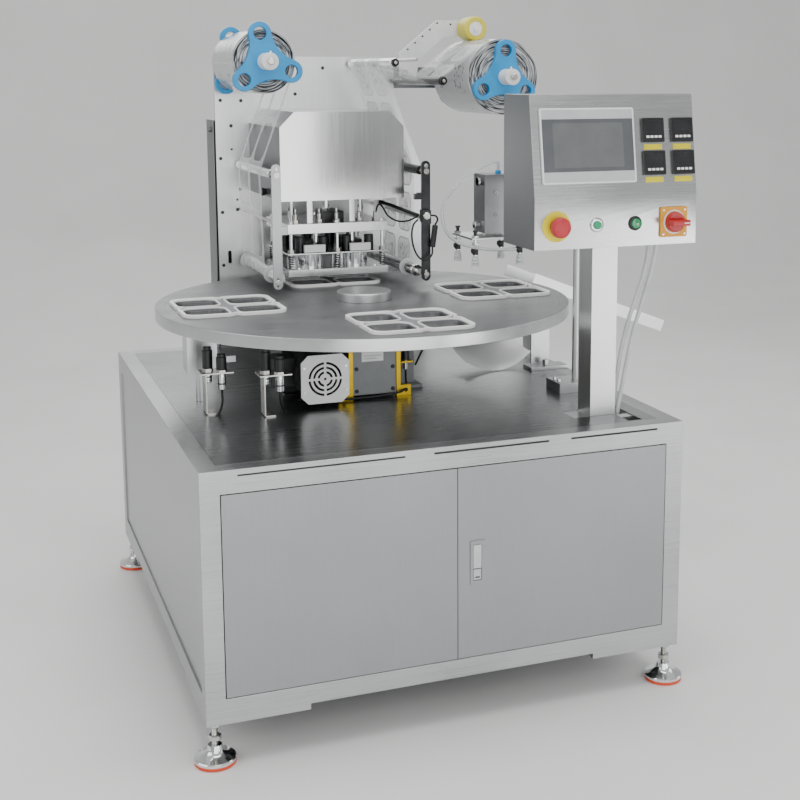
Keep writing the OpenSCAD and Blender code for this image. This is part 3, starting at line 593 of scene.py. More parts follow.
def tree_with(name, *numbers, **others):
    """A Geometry Nodes tree with named inputs, its inputs' sockets, and their identifiers by name."""
    tree = bpy.data.node_groups.new(name, "GeometryNodeTree")
    for way in ("INPUT", "OUTPUT"):
        tree.interface.new_socket("Geometry", in_out=way, socket_type="NodeSocketGeometry")
    kinds = {**dict.fromkeys(numbers, "Float"), **others, "Finish": "Material"}
    known = {label: tree.interface.new_socket(label, in_out="INPUT",
                                              socket_type="NodeSocket" + kind).identifier
             for label, kind in kinds.items()}
    return tree, tree.nodes.new("NodeGroupInput").outputs, known


def end_tree(tree, given, instance, turn):
    """Puts the instance on every point, and ends in real faces with their material."""
    on = add(tree, "GeometryNodeInstanceOnPoints", {"Points": given["Geometry"], "Instance": instance,
                                                    "Rotation": turn})
    real = add(tree, "GeometryNodeRealizeInstances", {"Geometry": on.outputs[0]})
    painted = add(tree, "GeometryNodeSetMaterial", {"Geometry": real.outputs[0], "Material": given["Finish"]})
    add(tree, "NodeGroupOutput", {"Geometry": painted.outputs[0]})


def screw_tree():
    """A round screw head with a hexagon socket, on each point, facing Direction."""
    tree, given, known = tree_with("screw_heads", "Radius", "Height", Direction="Vector")
    radius, height = given["Radius"], given["Height"]
    top, key = (number(tree, "MULTIPLY", radius, share) for share in (0.82, 0.48))
    head = add(tree, "GeometryNodeMeshCone",
               {"Vertices": 24, "Radius Top": top, "Radius Bottom": radius, "Depth": height})
    bore = add(tree, "GeometryNodeMeshCylinder", {"Vertices": 6, "Radius": key, "Depth": height})
    lift = add(tree, "ShaderNodeCombineXYZ", {"Z": height}).outputs[0]
    raised = add(tree, "GeometryNodeTransform", {"Geometry": bore.outputs["Mesh"], "Translation": lift})
    cut = add(tree, "GeometryNodeMeshBoolean", {"Mesh 1": head.outputs["Mesh"], "Mesh 2": raised.outputs[0]})
    turn = add(tree, "FunctionNodeAlignRotationToVector", {"Vector": given["Direction"]}, axis="Z")
    end_tree(tree, given, cut.outputs["Mesh"], turn.outputs[0])
    return tree, known


def spring_tree():
    """A coil spring standing on each point."""
    tree, given, known = tree_with("coil_springs", "Radius", "Height", "Wire", "Turns")
    coil = add(tree, "GeometryNodeCurveSpiral", {
        "Resolution": 20, "Rotations": given["Turns"], "Start Radius": given["Radius"],
        "End Radius": given["Radius"], "Height": given["Height"]})
    wire = add(tree, "GeometryNodeCurvePrimitiveCircle", {"Resolution": 8, "Radius": given["Wire"]})
    solid = add(tree, "GeometryNodeCurveToMesh",
                {"Curve": coil.outputs[0], "Profile Curve": wire.outputs[0], "Fill Caps": True})
    turn = add(tree, "FunctionNodeEulerToRotation")
    end_tree(tree, given, solid.outputs[0], turn.outputs[0])
    return tree, known


SCREWS, SCREW_INPUTS = screw_tree()
SPRINGS, SPRING_INPUTS = spring_tree()


def on_points(name, body, places, group, inputs, values, replaced=()):
    """A tree's small part at each place, as one plain mesh."""
    points = bpy.data.meshes.new("points")
    points.from_pydata([tuple(p) for p in places], [], [])
    settings = {"node_group": group, **{inputs[label]: value for label, value in values.items()}}
    mesh = evaluated(points, [("NODES", settings)])
    return place_mesh(mesh, name, body, replaced, 30)


def screws(name, body, places, direction, radius=5, height=4, finish=CHROME):
    """Screw heads at each place."""
    values = {"Radius": radius * MM, "Height": height * MM, "Direction": direction, "Finish": finish}
    return on_points(name, body, places, SCREWS, SCREW_INPUTS, values)


# ---- cabinet ----


def cabinet():
    """The welded frame, doors and worktop keep their CAD shapes, with folded or filed edges."""
    side_x, rail_z = 0.463, 0.56
    softened("cabinet_frame", STEEL_RAIL, 1.2, STEEL_SIDE,
             lambda p: abs(p.x - CENTRE.x) > side_x and p.z < rail_z)
    finish_node(STEEL_TOP, "top_sheet")
    finish_node(STEEL_SIDE, "side_panels")
    finish_node(DARK_STEEL, "door_hinges")
    finish_node(GREY_PAINT, "electrical_panel")
    # Black strips set into the rail's slits: painted shade, standing for the dark inside of each slit.
    slit_shade = Piece("rail_slit_painted_shade", "machine", "dark_steel")
    for left, right in ((-429, -107), (-48, 195), (244, 440)):
        slit_shade.bar(BLACK_ABS, (left, -570.05, 559), (right, -567, 562), 0.2)
    slit_shade.done()
    softened("left_door", STEEL_DOOR)
    softened("right_door", STEEL_DOOR)
    low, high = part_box("latch_button")
    slot = block((low.x + 0.003, low.y - 0.0004, low.z + 0.004),
                 (high.x - 0.003, low.y + 0.001, low.z + 0.007), 0.2)
    latch = Piece("door_latch_button", "latch_button", "dark_steel", "latch_button")
    latch.add(block(low, high, 0.8), GREY_ABS).add(slot, BLACK_ABS).done()
    x, half = (low.x + high.x) / 2, 0.0085
    paddle = block((x - half, low.y - 0.0003, high.z + 0.002), (x + half, low.y + 0.004, high.z + 0.05))
    Piece("door_latch_paddle", "right_door", "brushed_stainless").add(paddle, ALUMINIUM).done()


def feet():
    """Chromed levelling feet: a bell on a rubber ring, a threaded stem and two nuts."""
    low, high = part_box("levelling_feet")
    ring_low, ring_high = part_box("foot_pads")
    inset, spread, top = 0.04, 481, high.z / MM
    places = [Matrix.Translation((x, y, 0)) for x in (low.x + inset, high.x - inset)
              for y in (low.y + inset, high.y - inset)]
    bell = [(0, 7), (39.4, 7), (40, 8), (40, 12), (38.5, 14), (30, 16.5), (22, 20), (16.5, 25), (15, 30),
            (14, 34),
            (13, 37), (0, 37)]
    thread = [(0, 36)]
    for i in range(19):
        thread += [(5.2, 37.2 + 2.4 * i), (6, 38.4 + 2.4 * i)]
    nut = [(6, 0), (11.6, 0), (13, 1.2), (13, 8.8), (11.6, 10), (6, 10)]
    made = Piece("levelling_feet_turned", "machine", "chromed_steel", "levelling_feet")
    made.turned(CHROME, bell, *places, steps=48)
    made.turned(NICKEL, [*thread, (5.2, top), (0, top)], *places)
    for z in (46, top - 10.5):
        lift = Matrix.Translation((0, 0, z * MM))
        made.turned(NICKEL, nut, *[p @ lift for p in places], steps=6)
    made.done()
    rim = (ring_high.x - ring_low.x) / 2 / MM - spread
    pad = [(0, 0), (rim - 1.5, 0), (rim, 1.5), (rim, 5.5), (rim - 1, 7), (0, 7)]
    Piece("foot_rings", "machine", "orange_rubber", "foot_pads").turned(ORANGE_RUBBER, pad, *places,
                                                                        steps=48).done()


# ---- turntable ----


def clover(half, corner, dip):
    """A square outline with round corners and a small dip in the middle of each side, in millimetres."""
    shoulder, floor = half - dip * 0.35, half - dip
    side = [(half, 15), (shoulder, 7), (floor, 2.5), (floor, -2.5), (shoulder, -7), (half, -15)]
    middle = half - corner
    for i in range(9):
        b = -math.pi / 2 * i / 8
        side.append((middle + corner * math.cos(b), -middle + corner * math.sin(b)))
    found = []
    for k in range(4):
        a = math.radians(-90 * k)
        found += [(x * math.cos(a) - y * math.sin(a), x * math.sin(a) + y * math.cos(a)) for x, y in side]
    return found[::-1]


def stations():
    """Each station: a white moulded surround, a grey sheet inside it that is painted shadow in the recess,
    and a pale lip round each pocket.
    """
    low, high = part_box("station_gaskets")
    thick = (high.z - low.z) / MM
    pockets = [(sx * POCKET_PITCH / 2, sy * POCKET_PITCH / 2) for sx in (-1, 1) for sy in (-1, 1)]
    radius = (high.x - low.x) / 2 / MM - 114
    places = [Matrix.Translation((TABLE_AXIS.x, TABLE_AXIS.y, low.z)) @ Matrix.Rotation(math.pi / 2 * k, 4,
                                                                                        "Z")
              @ Matrix.Translation((radius * MM, 0, 0)) for k in range(4)]
    made = Piece("station_nests", "turntable", "white_silicone", "station_gaskets")
    made.add(slab([clover(114, 30, 9), clover(107.5, 25, 8)], 0, thick, 1.2), SILICONE, *places)
    holes = [rounded(92, 92, 22, p) for p in pockets]
    # The grey sheet between the surround and the pockets is painted shadow.
    made.add(slab([clover(107.6, 25, 8), *holes], 0, 3, 0.2), SHADOW_GREY, *places)
    for p in pockets:
        made.add(slab([rounded(100, 100, 25, p), rounded(93, 93, 22, p)], 2.5, 6.2, 0.8), SILICONE, *places)
    made.done()


def turntable():
    low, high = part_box("turntable")
    # The rim takes the brighter machined aluminium: a painted highlight on the same metal as the darker top.
    softened("turntable", TURNED, 1.5, ALUMINIUM,
             lambda p: (p.xy - TABLE_AXIS.xy).length > (high.x - low.x) / 2 - 0.003 and low.z < p.z < high.z)
    softened("hub_cap", TURNED_CAP, 1)
    finish_node(DARK_STEEL, "turntable_spindle")
    stations()


# ---- drive, under the turntable ----


def drive():
    """The geared motor with its fan, and the indexer it turns."""
    softened("indexer_gearbox", GREY_PAINT, 1.5)
    softened("indexer_brackets", GOLD_ZINC)
    softened("fan_cowl", WHITE_ABS, 1)
    finish_node(BLACK_ABS, "motor_fan")
    axis = AXES["motor_fan_spin"]
    softened("gear_motor", BLACK_PAINT, 1)
    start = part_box("gear_motor")[0].y + 0.045
    places = [Matrix.Translation((axis.x, start + i * 0.009, axis.z)) @ ALONG_Y for i in range(11)]
    ribs = Piece("motor_cooling_ribs", "machine", "black_paint")
    ribs.turned(BLACK_PAINT, ring(50, 54, 0, 2.4), *places, steps=40)
    ribs.add(block((axis.x - 0.1, start + 0.03, axis.z - 0.03),
                   (axis.x - 0.045, start + 0.095, axis.z + 0.035), 3),
             BLACK_PAINT)
    ribs.done()
    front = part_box("fan_cowl")[0].y
    screws("cowl_screws", "machine",
           [(axis.x + x, front, axis.z + z) for x in (-0.046, 0.046) for z in (-0.026, 0.026)], (0, -1, 0),
           2.6, 2)
    label = Piece("gearbox_blank_label", "machine", "white_plastic")
    label.bar(WHITE_ABS, (-62, -146, 655), (-12, -144.8, 680), 0.3)
    label.bar(GREY_ABS, (-58, -146.4, 667), (-17, -145.9, 669), 0.1)
    label.bar(GREY_ABS, (-58, -146.4, 661), (-28, -145.9, 663), 0.1)
    label.done()
    screws("gearbox_screws", "machine", [at(x, -145.4, z) for x in (-74, 10) for z in (590,
                                                                                                     640,
                                                                                                     684)],
           (0, -1, 0), 4.5, 3.5, BLACK_PAINT)
    sensor = Piece("gearbox_sensor", "machine", "black_cable")
    sensor.turned(BLACK_ABS, [(0, 0), (8, 0), (9, 1), (9, 34), (7, 36), (0, 36)], moved(60, -86, 640))
    sensor.turned(NICKEL, rod(6, 0, 22), moved(60, -86, 618))
    sensor.bar(GOLD_ZINC, (46, -98, 634), (74, -60.5, 638), 0.5)
    sensor.wire(BLACK_RUBBER, 2.4, (60, -86, 676), (62, -92, 692), (78, -102, 700), (98, -104, 694),
                (104, -100, 676),
                (98, -94, 660), (94, -80, 640), (92, -62, 620))
    sensor.wire(BLACK_RUBBER, 2.4, (60, -86, 618), (56, -98, 602), (36, -150, 586), (-10, -158, 579),
                (-70, -156, 577),
                (-120, -150, 577), (-200, -120, 576))
    sensor.done()


def table_fittings():
    """The rest blocks, the two position sensors with their caps, and the slide sheet under the table."""
    softened("table_supports", ALUMINIUM, 1)
    made = Piece("position_sensors_fitted", "machine", "chromed_steel", "position_sensors")
    for x, y in ((-407, -148), (-297, -211)):
        made.bar(NICKEL, (x - 1.5, y - 15, 572), (x + 1.5, y + 20, 658))
        made.bar(NICKEL, (x - 1.5, y - 15, 572), (x + 22, y + 20, 575))
        made.bar(NICKEL, (x - 10, y - 17, 658), (x + 58, y + 34, 661))
        for dx, dy, top, foot in ((35, -2, 700, 622), (10, 22, 712, 634)):
            place = moved(x + dx, y + dy, 0)
            barrel = [(0, foot), (7.5, foot), (9, foot + 1.5), (9, 650), (8.4, 651), (8.4, 664), (0, 664)]
            cap = [(0, 664), (10, 664), (11, 666), (11, top - 8), (9, top - 7), (9, top - 1), (8, top),
                   (0, top)]
            made.turned(CHROME, barrel, place, steps=28)
            made.turned(BLACK_ABS, rod(9.3, foot + 12, foot + 15), place, steps=28)
            made.turned(NICKEL, rod(12, 661, 665), place, steps=6)
            made.turned(BLACK_ABS, cap, place, steps=28)
    made.done()
    shape = bmesh.new()
    rows = []
    for t in [i / 12 for i in range(13)]:
        rows.append([shape.verts.new(at(246 + 176 * u, -6 + 26 * u * u + 190 * t,
                                        574 + 30 * (2 * u - 0.9) ** 2 * (1 - t) + 70 * t ** 1.4))
                     for u in [k / 8 for k in range(9)]])
    for a, b in zip(rows, rows[1:]):
        for k in range(8):
            shape.faces.new((a[k], a[k + 1], b[k + 1], b[k]))
    bmesh.ops.solidify(shape, geom=shape.faces[:], thickness=0.0015)
    Piece("under_table_slide", "machine", "bright_stainless").add(shape, STEEL_BRIGHT).done()


# ---- press ----


def press():
    """The plate and cover that carry the press, and its head with dies, springs, heaters and fittings."""
    softened("back_plate", STEEL_BRIGHT)
    # The rear column takes the darker steel as painted shade.
    finish_node(DULL_AND_SHADED_STEEL, "rear_column")
    cover, cover_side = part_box("press_cover")[0], 0.016
    # The cover's left side takes the darker steel: painted shade on that side.
    softened("press_cover", STEEL_COVER, 1, DULL_AND_SHADED_STEEL, lambda p: p.x < cover.x + cover_side)
    finish_node(ALUMINIUM, "press_cylinder")
    finish_node(CHROME, "press_rods", "sealing_dies")
    softened("head_plates", GROUND, 1)
    softened("pressure_plate", GROUND, 1)
    low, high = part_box("head_springs")
    rows = [(x, y) for x in (low.x + 0.008, (low.x + high.x) / 2, high.x - 0.008)
            for y in (low.y + 0.008, high.y - 0.008)]
    spring_long, give, gap = high.z - low.z, 0.01, 0.0011
    values = {"Radius": 6.8 * MM, "Height": spring_long - 2 * gap, "Wire": 1.1 * MM, "Turns": 6.0,
              "Finish": DARK_STEEL}
    springs = on_points("head_coil_springs", "press_head",
                        [(x, y, low.z + gap) for x, y in rows],
                        SPRINGS, SPRING_INPUTS, values, ["head_springs"])
    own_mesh(springs)
    posts = Piece("head_posts", "press_head", "chromed_steel")
    top, middle = 921, 352
    for x, y in rows:
        place = Matrix.Translation((x, y, 0))
        posts.turned(CHROME, rod(4, 820, 897), place, steps=20)
        posts.turned(NICKEL, rod(9, 849, 857), place, steps=6)
    heater = [(0, 849), (11, 849), (12, 850), (12, 885), (11, 886), (0, 886)]
    for x in (-88, -30, 30, 88):
        for y in (-78, 78):
            posts.turned(DARK_STEEL, heater, moved(x, middle + y, 0), steps=28)
    for x in (-58, 58):
        posts.bar(WHITE_ABS, (x - 26, middle - 108, 850), (x + 26, middle - 96, 868), 0.8)
        posts.bar(BLACK_ABS, (x - 18, middle - 60, 849), (x + 18, middle + 60, 872), 1)
    gland = [(0, top), (5, top), (5, top + 22), (3, top + 24), (3, top + 34), (0, top + 34)]
    for x in (-100, -40, 4, 62, 104):
        place = moved(x, middle - 82, 0)
        posts.turned(NICKEL, gland, place, steps=20)
        posts.turned(NICKEL, rod(9, top, top + 7), place, steps=6)
    posts.bar(WHITE_ABS, (98, middle - 96, top), (126, middle - 92, 972))
    posts.bar(BLACK_PAINT, (-20, middle - 60, top), (30, middle + 30, 944), 2)
    posts.done()
    screws("head_plate_screws", "press_head",
           [at(x, y, top) for x in (-116, 0, 116) for y in (252, 452)], (0, 0, 1), 6.5, 6)
    low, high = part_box("pressure_plate")
    screws("pressure_plate_screws", "pressure_plate",
           [(x, y, high.z) for x in (low.x + 0.03, high.x - 0.03) for y in (low.y + 0.012, high.y - 0.012)],
           (0, 0, 1))
    knob = [(0, 0), (6, 0), (7.5, 2), (10, 12), (10, 13.4), (9, 14.1), (0, 14.1)]
    tip = Matrix.Translation((cover.x + 0.0142, cover.y + 0.144, cover.z + 0.013)) @ TO_LEFT
    Piece("cover_knob", "machine", "black_plastic").turned(BLACK_ABS, knob, tip).done()
    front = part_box("back_plate")[0].y
    holes = ((-226, 1215), (-173, 1214), (-200, 1150), (-229, 1067), (45, 1297), (-228, 928), (-189, 934),
             (-229, 790),
             (300, 640), (-229, 640), (225, 1300), (-30, 1230))
    screws("back_plate_screws", "machine", [(at(x, 0, z).x, front, z * MM) for x, z in holes],
           (0, -1, 0), 4.6, 3, DARK_STEEL)


# ---- film ----


def film_bars():
    """The pale bar on the left and the blackened one on the right, with their clamp blocks."""
    softened("film_side_bars", STEEL_SIDE, 0.7, DARK_STEEL, lambda p: p.x > CENTRE.x)
    finish_node(NICKEL, "film_shafts")
    made = Piece("bar_fittings", "machine", "dark_steel")
    for x in (-183, 183):
        for z, r in ((1064, 5), (1051, 7), (801, 6.5)):
            made.turned(NICKEL, [(0, 0), (r, 0), (r, 3), (r - 1, 4), (0, 4)], moved(x, 112, z) @ TO_FRONT)
    made.bar(BLACK_ABS, (160, 108, 984), (176, 119, 1000), 1)
    made.wire(DARK_STEEL, 4.5, (110, 250, 968), (128, 222, 962), (150, 170, 952), (168, 128, 944))
    made.bar(BLACK_ABS, (166, 100, 930), (190, 112, 960), 1.5)
    made.turned(NICKEL, [(0, 0), (9, 0), (9, 10), (7, 12), (0, 12)], moved(178, 101, 945) @ TO_FRONT)
    made.turned(BLACK_ABS, [(0, 0), (6.5, 0), (7, 2), (7, 52), (5, 54), (0, 54)],
                moved(196, 104, 868) @ Matrix.Rotation(math.radians(8), 4, "Y"))
    made.wire(BLACK_RUBBER, 2.2, (203, 104, 922), (208, 100, 934), (202, 96, 944), (190, 96, 946))
    made.wire(BLACK_RUBBER, 2.2, (196, 104, 868), (192, 98, 850), (176, 96, 838), (158, 96, 846),
              (146, 98, 870),
              (142, 100, 900), (148, 104, 924), (160, 106, 936))
    made.done()
    # The black leads hang between the moving head and the bar
    route = ((100, 262, 930), (106, 250, 960), (112, 236, 958), (120, 214, 936), (134, 180, 926),
             (150, 146, 930),
             (164, 122, 942))
    lead = Piece("head_leads", None, "black_cable").add(hose([at(*p) for p in route], 2.2, 10, 6),
                                                        BLACK_RUBBER)
    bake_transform(lead.done())


def roller(node, finish, flanged=False):
    """A guide roller: a chamfered tube with a shallow groove near each end, and end rings."""
    low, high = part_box(node)
    axis = AXES[node + "_spin"]
    r = FLANGED if flanged else PLAIN
    y0, y1 = (low.y - axis.y) / MM, (high.y - axis.y) / MM
    half = [(6.6, 1), (r - 1.2, 0), (r, 1.2), (r, 9), (r - 0.6, 9.8), (r, 10.6)]
    line = [(x, y0 + up) for x, up in half] + [(x, y1 - up) for x, up in half[::-1]]
    place = Matrix.Translation(axis) @ ALONG_Y
    made = Piece(node + "_turned", node, SLOTS[node], node)
    made.turned(finish, line, place, steps=36)
    if flanged:
        for y in (-130, 130):
            rim = [(r - 0.5, y - 3), (19.5, y - 3), (21, y - 1.5), (21, y + 1.5), (19.5, y + 3),
                   (r - 0.5, y + 3)]
            made.turned(FROSTED, rim, place, steps=40)
    made.done()


def rollers():
    """Six guide rollers, and the caps on the two at the top."""
    roller("upper_left_roller", CHROME)
    roller("lower_left_roller", CHROME, True)
    roller("upper_right_roller", DARK_STEEL)
    roller("lower_right_roller", CHROME, True)
    roller("top_roller", CHROME)
    roller("return_roller", DARK_STEEL)
    caps = Piece("roller_end_caps", "machine", "dark_steel")
    for joint in ("top_roller_spin", "return_roller_spin"):
        place = Matrix.Translation((AXES[joint].x, at(0, 144, 0).y, AXES[joint].z)) @ ALONG_Y
        caps.turned(BLACK_ABS, [(0, 0), (8, 0), (9, 1), (9, 6), (0, 6)], place)
        caps.turned(NICKEL, [(0, -1.5), (3.4, -1.5), (4, -1), (4, 1), (0, 1)], place)
    caps.done()


def film_roll(name, node, body, joint, radius, wobble):
    """A wound roll: its ends show layers that stand a little in or out, its face the printed film."""
    low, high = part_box(node)
    centre = AXES[joint]
    dice = random.Random(7)
    half = (high.y - low.y) / 2 / MM
    core, layers = 20, 22
    ends = {}
    for side in (-1, 1):
        ends[side] = []
        for i in range(layers + 1):
            out = half - 0.3 - (wobble * dice.random() if i < layers else wobble * 0.5)
            ends[side].append((core + (radius - 1.2 - core) * i / layers, side * out))
    place = Matrix.Translation(centre) @ ALONG_Y
    line = [(15.2, -half), *ends[-1], *ends[1][::-1], (15.2, half)]
    Piece(name, body, "wound_film", node).turned(FILM_EDGES[joint], line, place, steps=72).done(50)
    y = half - wobble
    wrap = ring(radius - 1.4, radius - 0.1, -y, y)
    face = Piece(name + "_face", body, "wound_film").turned(ROLL_FACE, wrap, place, steps=96).done()
    layer = face.data.uv_layers.new(name="film")
    for loop in face.data.loops:
        p = face.data.vertices[loop.vertex_index].co - centre
        layer.data[loop.index].uv = (math.atan2(p.z, p.x) * radius * MM, p.y)


def reel(side, joint, turn):
    """A reel's shaft: a white collar with a set screw, and the flatted nose of the shaft in it."""
    low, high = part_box(side + "_shaft")
    axis = AXES[joint]
    body = side + "_reel"
    softened(side + "_clamps", BLUE_NYLON, 1.6)
    place = Matrix.Translation((axis.x, low.y, axis.z)) @ ALONG_Y
    across = Matrix.Rotation(turn, 4, "Y")
    long = (high.y - low.y) / MM
    shaft = [(0, 0.2), (6.5, 0.2), (8, 1.7), (8, 62), (15, 62), (15, long), (0, long)]
    collar = [(8, 12), (18.5, 12), (20, 13.5), (20, 60), (18.5, 61.5), (8, 61.5)]
    made = Piece(side + "_shaft_turned", body, "white_plastic", side + "_shaft")
    made.turned(NICKEL, shaft, place, steps=36)
    made.turned(WHITE_ABS, collar, place, steps=36)
    made.turned(CHROME, [(0, 19), (3.2, 19), (3.2, 24), (2, 25), (0, 25)],
                Matrix.Translation((axis.x, low.y + 0.024, axis.z)) @ across, steps=16)
    made.done()
    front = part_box(side + "_clamps")[0].y - 0.0004
    plate = slab([rounded(26, 13, 1.5, (0, -42)), rounded(22, 9, 1, (0, -42))], 0, 1, 0.2)
    tilt = Matrix.Translation((axis.x, front, axis.z)) @ across @ UPRIGHT
    Piece(side + "_clamp_plate", body, "blue_plastic").add(plate, BLUE_NYLON, tilt).done()


def reels():
    """Both reels with their film, the arm they hang on, and the wheel that measures the roll."""
    reel("unwind", "unwind_spin", math.radians(-2))
    reel("rewind", "rewind_spin", math.radians(10))
    film_roll("printed_film_roll", "supply_film_roll", "unwind_reel", "unwind_spin", SUPPLY_ROLL, 1.6)
    film_roll("punched_film_roll", "waste_film_roll", "rewind_reel", "rewind_spin", WASTE_ROLL, 3.2)
    softened("unwind_arm", DULL_AND_SHADED_STEEL, 1)
    softened("roller_arm", WHITE_ABS, 0.6)
    axis = AXES["measuring_roller_spin"]
    place = Matrix.Translation(axis) @ ALONG_Y
    low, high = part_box("measuring_roller")
    y0, y1 = (low.y - axis.y) / MM, (high.y - axis.y) / MM
    tyre = [(19, y0 + 1), (29, y0), (31.9, y0 + 2.5), (31.9, y1 - 2.5), (29, y1), (19, y1 - 1)]
    wheel = [(6.2, y0 + 2), (18, y0 + 1.4), (19.5, y0 + 2.6), (19.5, y1 - 2.6), (18, y1 - 1.4), (6.2, y1 - 2)]
    made = Piece("measuring_wheel", "measuring_roller", "yellow_polyurethane", "measuring_roller")
    made.turned(YELLOW_RUBBER, tyre, place, steps=56)
    made.turned(WHITE_ABS, wheel, place, steps=48).done()
    dots = [at(276 + 21 * i, 508, 1346 + 17.5 * i) for i in range(5)] + [at(398, 508, 1413)]
    screws("roller_arm_rivets", "roller_arm", dots, (0, -1, 0), 2.6, 1.6, DARK_STEEL)
    pin = [(0, y0 - 1), (3, y0 - 1), (3.5, y0), (3.5, y0 + 6), (0, y0 + 6)]
    Piece("measuring_wheel_pin", "roller_arm", "machined_aluminium").turned(BLACK_ABS, pin, place,
                                                                            steps=20).done()


FILM_LOW, FILM_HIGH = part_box("film_web")
# Narrower than the CAD web, so that it clears the reel clamps
FILM_WIDE = (FILM_HIGH.y - FILM_LOW.y) / MM - 1.6
# Radii of the wound rolls, and of the plain and flanged guide rollers, in millimetres
SUPPLY_ROLL, WASTE_ROLL, PLAIN, FLANGED = 95, 75, 11, 15


def touch(c1, r1, s1, c2, r2, s2):
    """Both ends of the straight run between two rollers, in X and Z; s is the side the film lies on."""
    d = c2 - c1
    t = math.atan2(d.y, d.x) - math.asin((s1 * r1 - s2 * r2) / d.length)
    n = Vector((-math.sin(t), math.cos(t)))
    return c1 + n * s1 * r1, c2 + n * s2 * r2


def film_route(stops):
    """The film's line in X and Z over rollers given as (joint name, radius, side), with round turns."""
    places = [(Vector((AXES[name].x, AXES[name].z)), (r + 0.35) * MM, side) for name, r, side in stops]
    found = []
    runs = [touch(*a, *b) for a, b in zip(places, places[1:])]
    for k, (start, end) in enumerate(runs):
        found += [start, end]
        if k + 1 < len(runs):
            middle, there = places[k + 1][0], runs[k + 1][0]
            a, b = end - middle, there - middle
            sweep = a.angle_signed(b)
            for i in range(1, 10):
                c, s = math.cos(-sweep * i / 10), math.sin(-sweep * i / 10)
                found.append(middle + Vector((a.x * c - a.y * s, a.x * s + a.y * c)))
    return found


def film_strip(finish, line, hole, shift):
    """Film along a line, with a map along and across it; hole is the width cut out at each lid, or 0."""
    far = [0]
    for a, b in zip(line, line[1:]):
        far.append(far[-1] + (b - a).length / MM)
    long, half, margin, step = far[-1], FILM_WIDE / 2, 4, 20
    outlines = [[(0, -half), (long, -half), (long, half), (0, half)]]
    along = shift
    while hole and along + hole / 2 < long - margin:
        if along - hole / 2 > margin:
            outlines += [rounded(hole, hole, 26, (along, side * POCKET_PITCH / 2)) for side in (-1, 1)]
        along += POCKET_PITCH
    sheet = drawn(outlines)
    bmesh.ops.remove_doubles(sheet, verts=sheet.verts, dist=JOIN)
    for s in sorted({round(s, 3) for s in far[1:-1]} | set(range(step, int(long), step))):
        everything = sheet.verts[:] + sheet.edges[:] + sheet.faces[:]
        bmesh.ops.bisect_plane(sheet, geom=everything, plane_co=(s * MM, 0, 0), plane_no=(1, 0, 0), dist=1e-7)
    layer = sheet.loops.layers.uv.new("film")
    for face in sheet.faces:
        for loop in face.loops:
            loop[layer].uv = (loop.vert.co.x - shift * MM + POCKET_PITCH / 2 * MM, loop.vert.co.y)
    middle = (FILM_LOW.y + FILM_HIGH.y) / 2
    for vert in sheet.verts:
        s = vert.co.x / MM
        i = max(k for k in range(len(far) - 1) if far[k] <= s + JOIN)
        p = line[i].lerp(line[i + 1], min((s - far[i]) / max(far[i + 1] - far[i], 1e-9), 1))
        vert.co = (p.x, middle + vert.co.y, p.y)
    mesh = mesh_of(sheet)
    mesh.materials.append(finish)
    return evaluated(mesh, [("SOLIDIFY", {"thickness": 0.25 * MM, "offset": 0})])


def films():
    """Punched film up to the left reel, film under the press that moves with the head, and printed film."""
    left, right = ("lower_left_roller_spin", FLANGED, -1), ("lower_right_roller_spin", FLANGED, -1)
    up = film_route([("rewind_spin", WASTE_ROLL, 1), ("upper_left_roller_spin", PLAIN, -1), left, right])[:-1]
    place_mesh(film_strip(PUNCHED_FILM, up, 96, 60), "punched_film", "machine", ["film_web"],
               60)
    down = film_route([left, right, ("upper_right_roller_spin", PLAIN, -1), ("top_roller_spin", PLAIN, 1),
                       ("return_roller_spin", PLAIN, -1), ("unwind_spin", SUPPLY_ROLL, 1)])
    place_mesh(film_strip(PRINTED_FILM, down[1:], 0, 40), "printed_film", "machine", (), 60)
    start, end = down[:2]
    middle = start.lerp(end, 0.5)
    head_low, head_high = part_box("pressure_plate")
    for side, ends, edge in (("left", [start, middle], head_low.x), ("right", [middle, end], head_high.x)):
        piece = place_mesh(film_strip(PRINTED_FILM, ends, 0, 40), "film_under_press_" + side, None,
                           (), 60)
        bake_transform(piece)


# ---- operator box ----

# The lower panel's buttons across, their height, and the box's front
BUTTONS = (191, 277, 361, 446)
PANEL = 992
BOX_FRONT = -601
UPPER = moved(0, BOX_FRONT, 1047) @ Matrix.Rotation(-math.atan2(30, 195), 4, "X")


def on_upper(x, up):
    """Where a drawing stands on the sloping upper panel."""
    return UPPER @ Matrix.Translation((x * MM, 0, up * MM)) @ UPRIGHT


def on_lower(x):
    """Where a turned piece stands out of the lower panel."""
    return moved(x, BOX_FRONT, PANEL) @ TO_FRONT


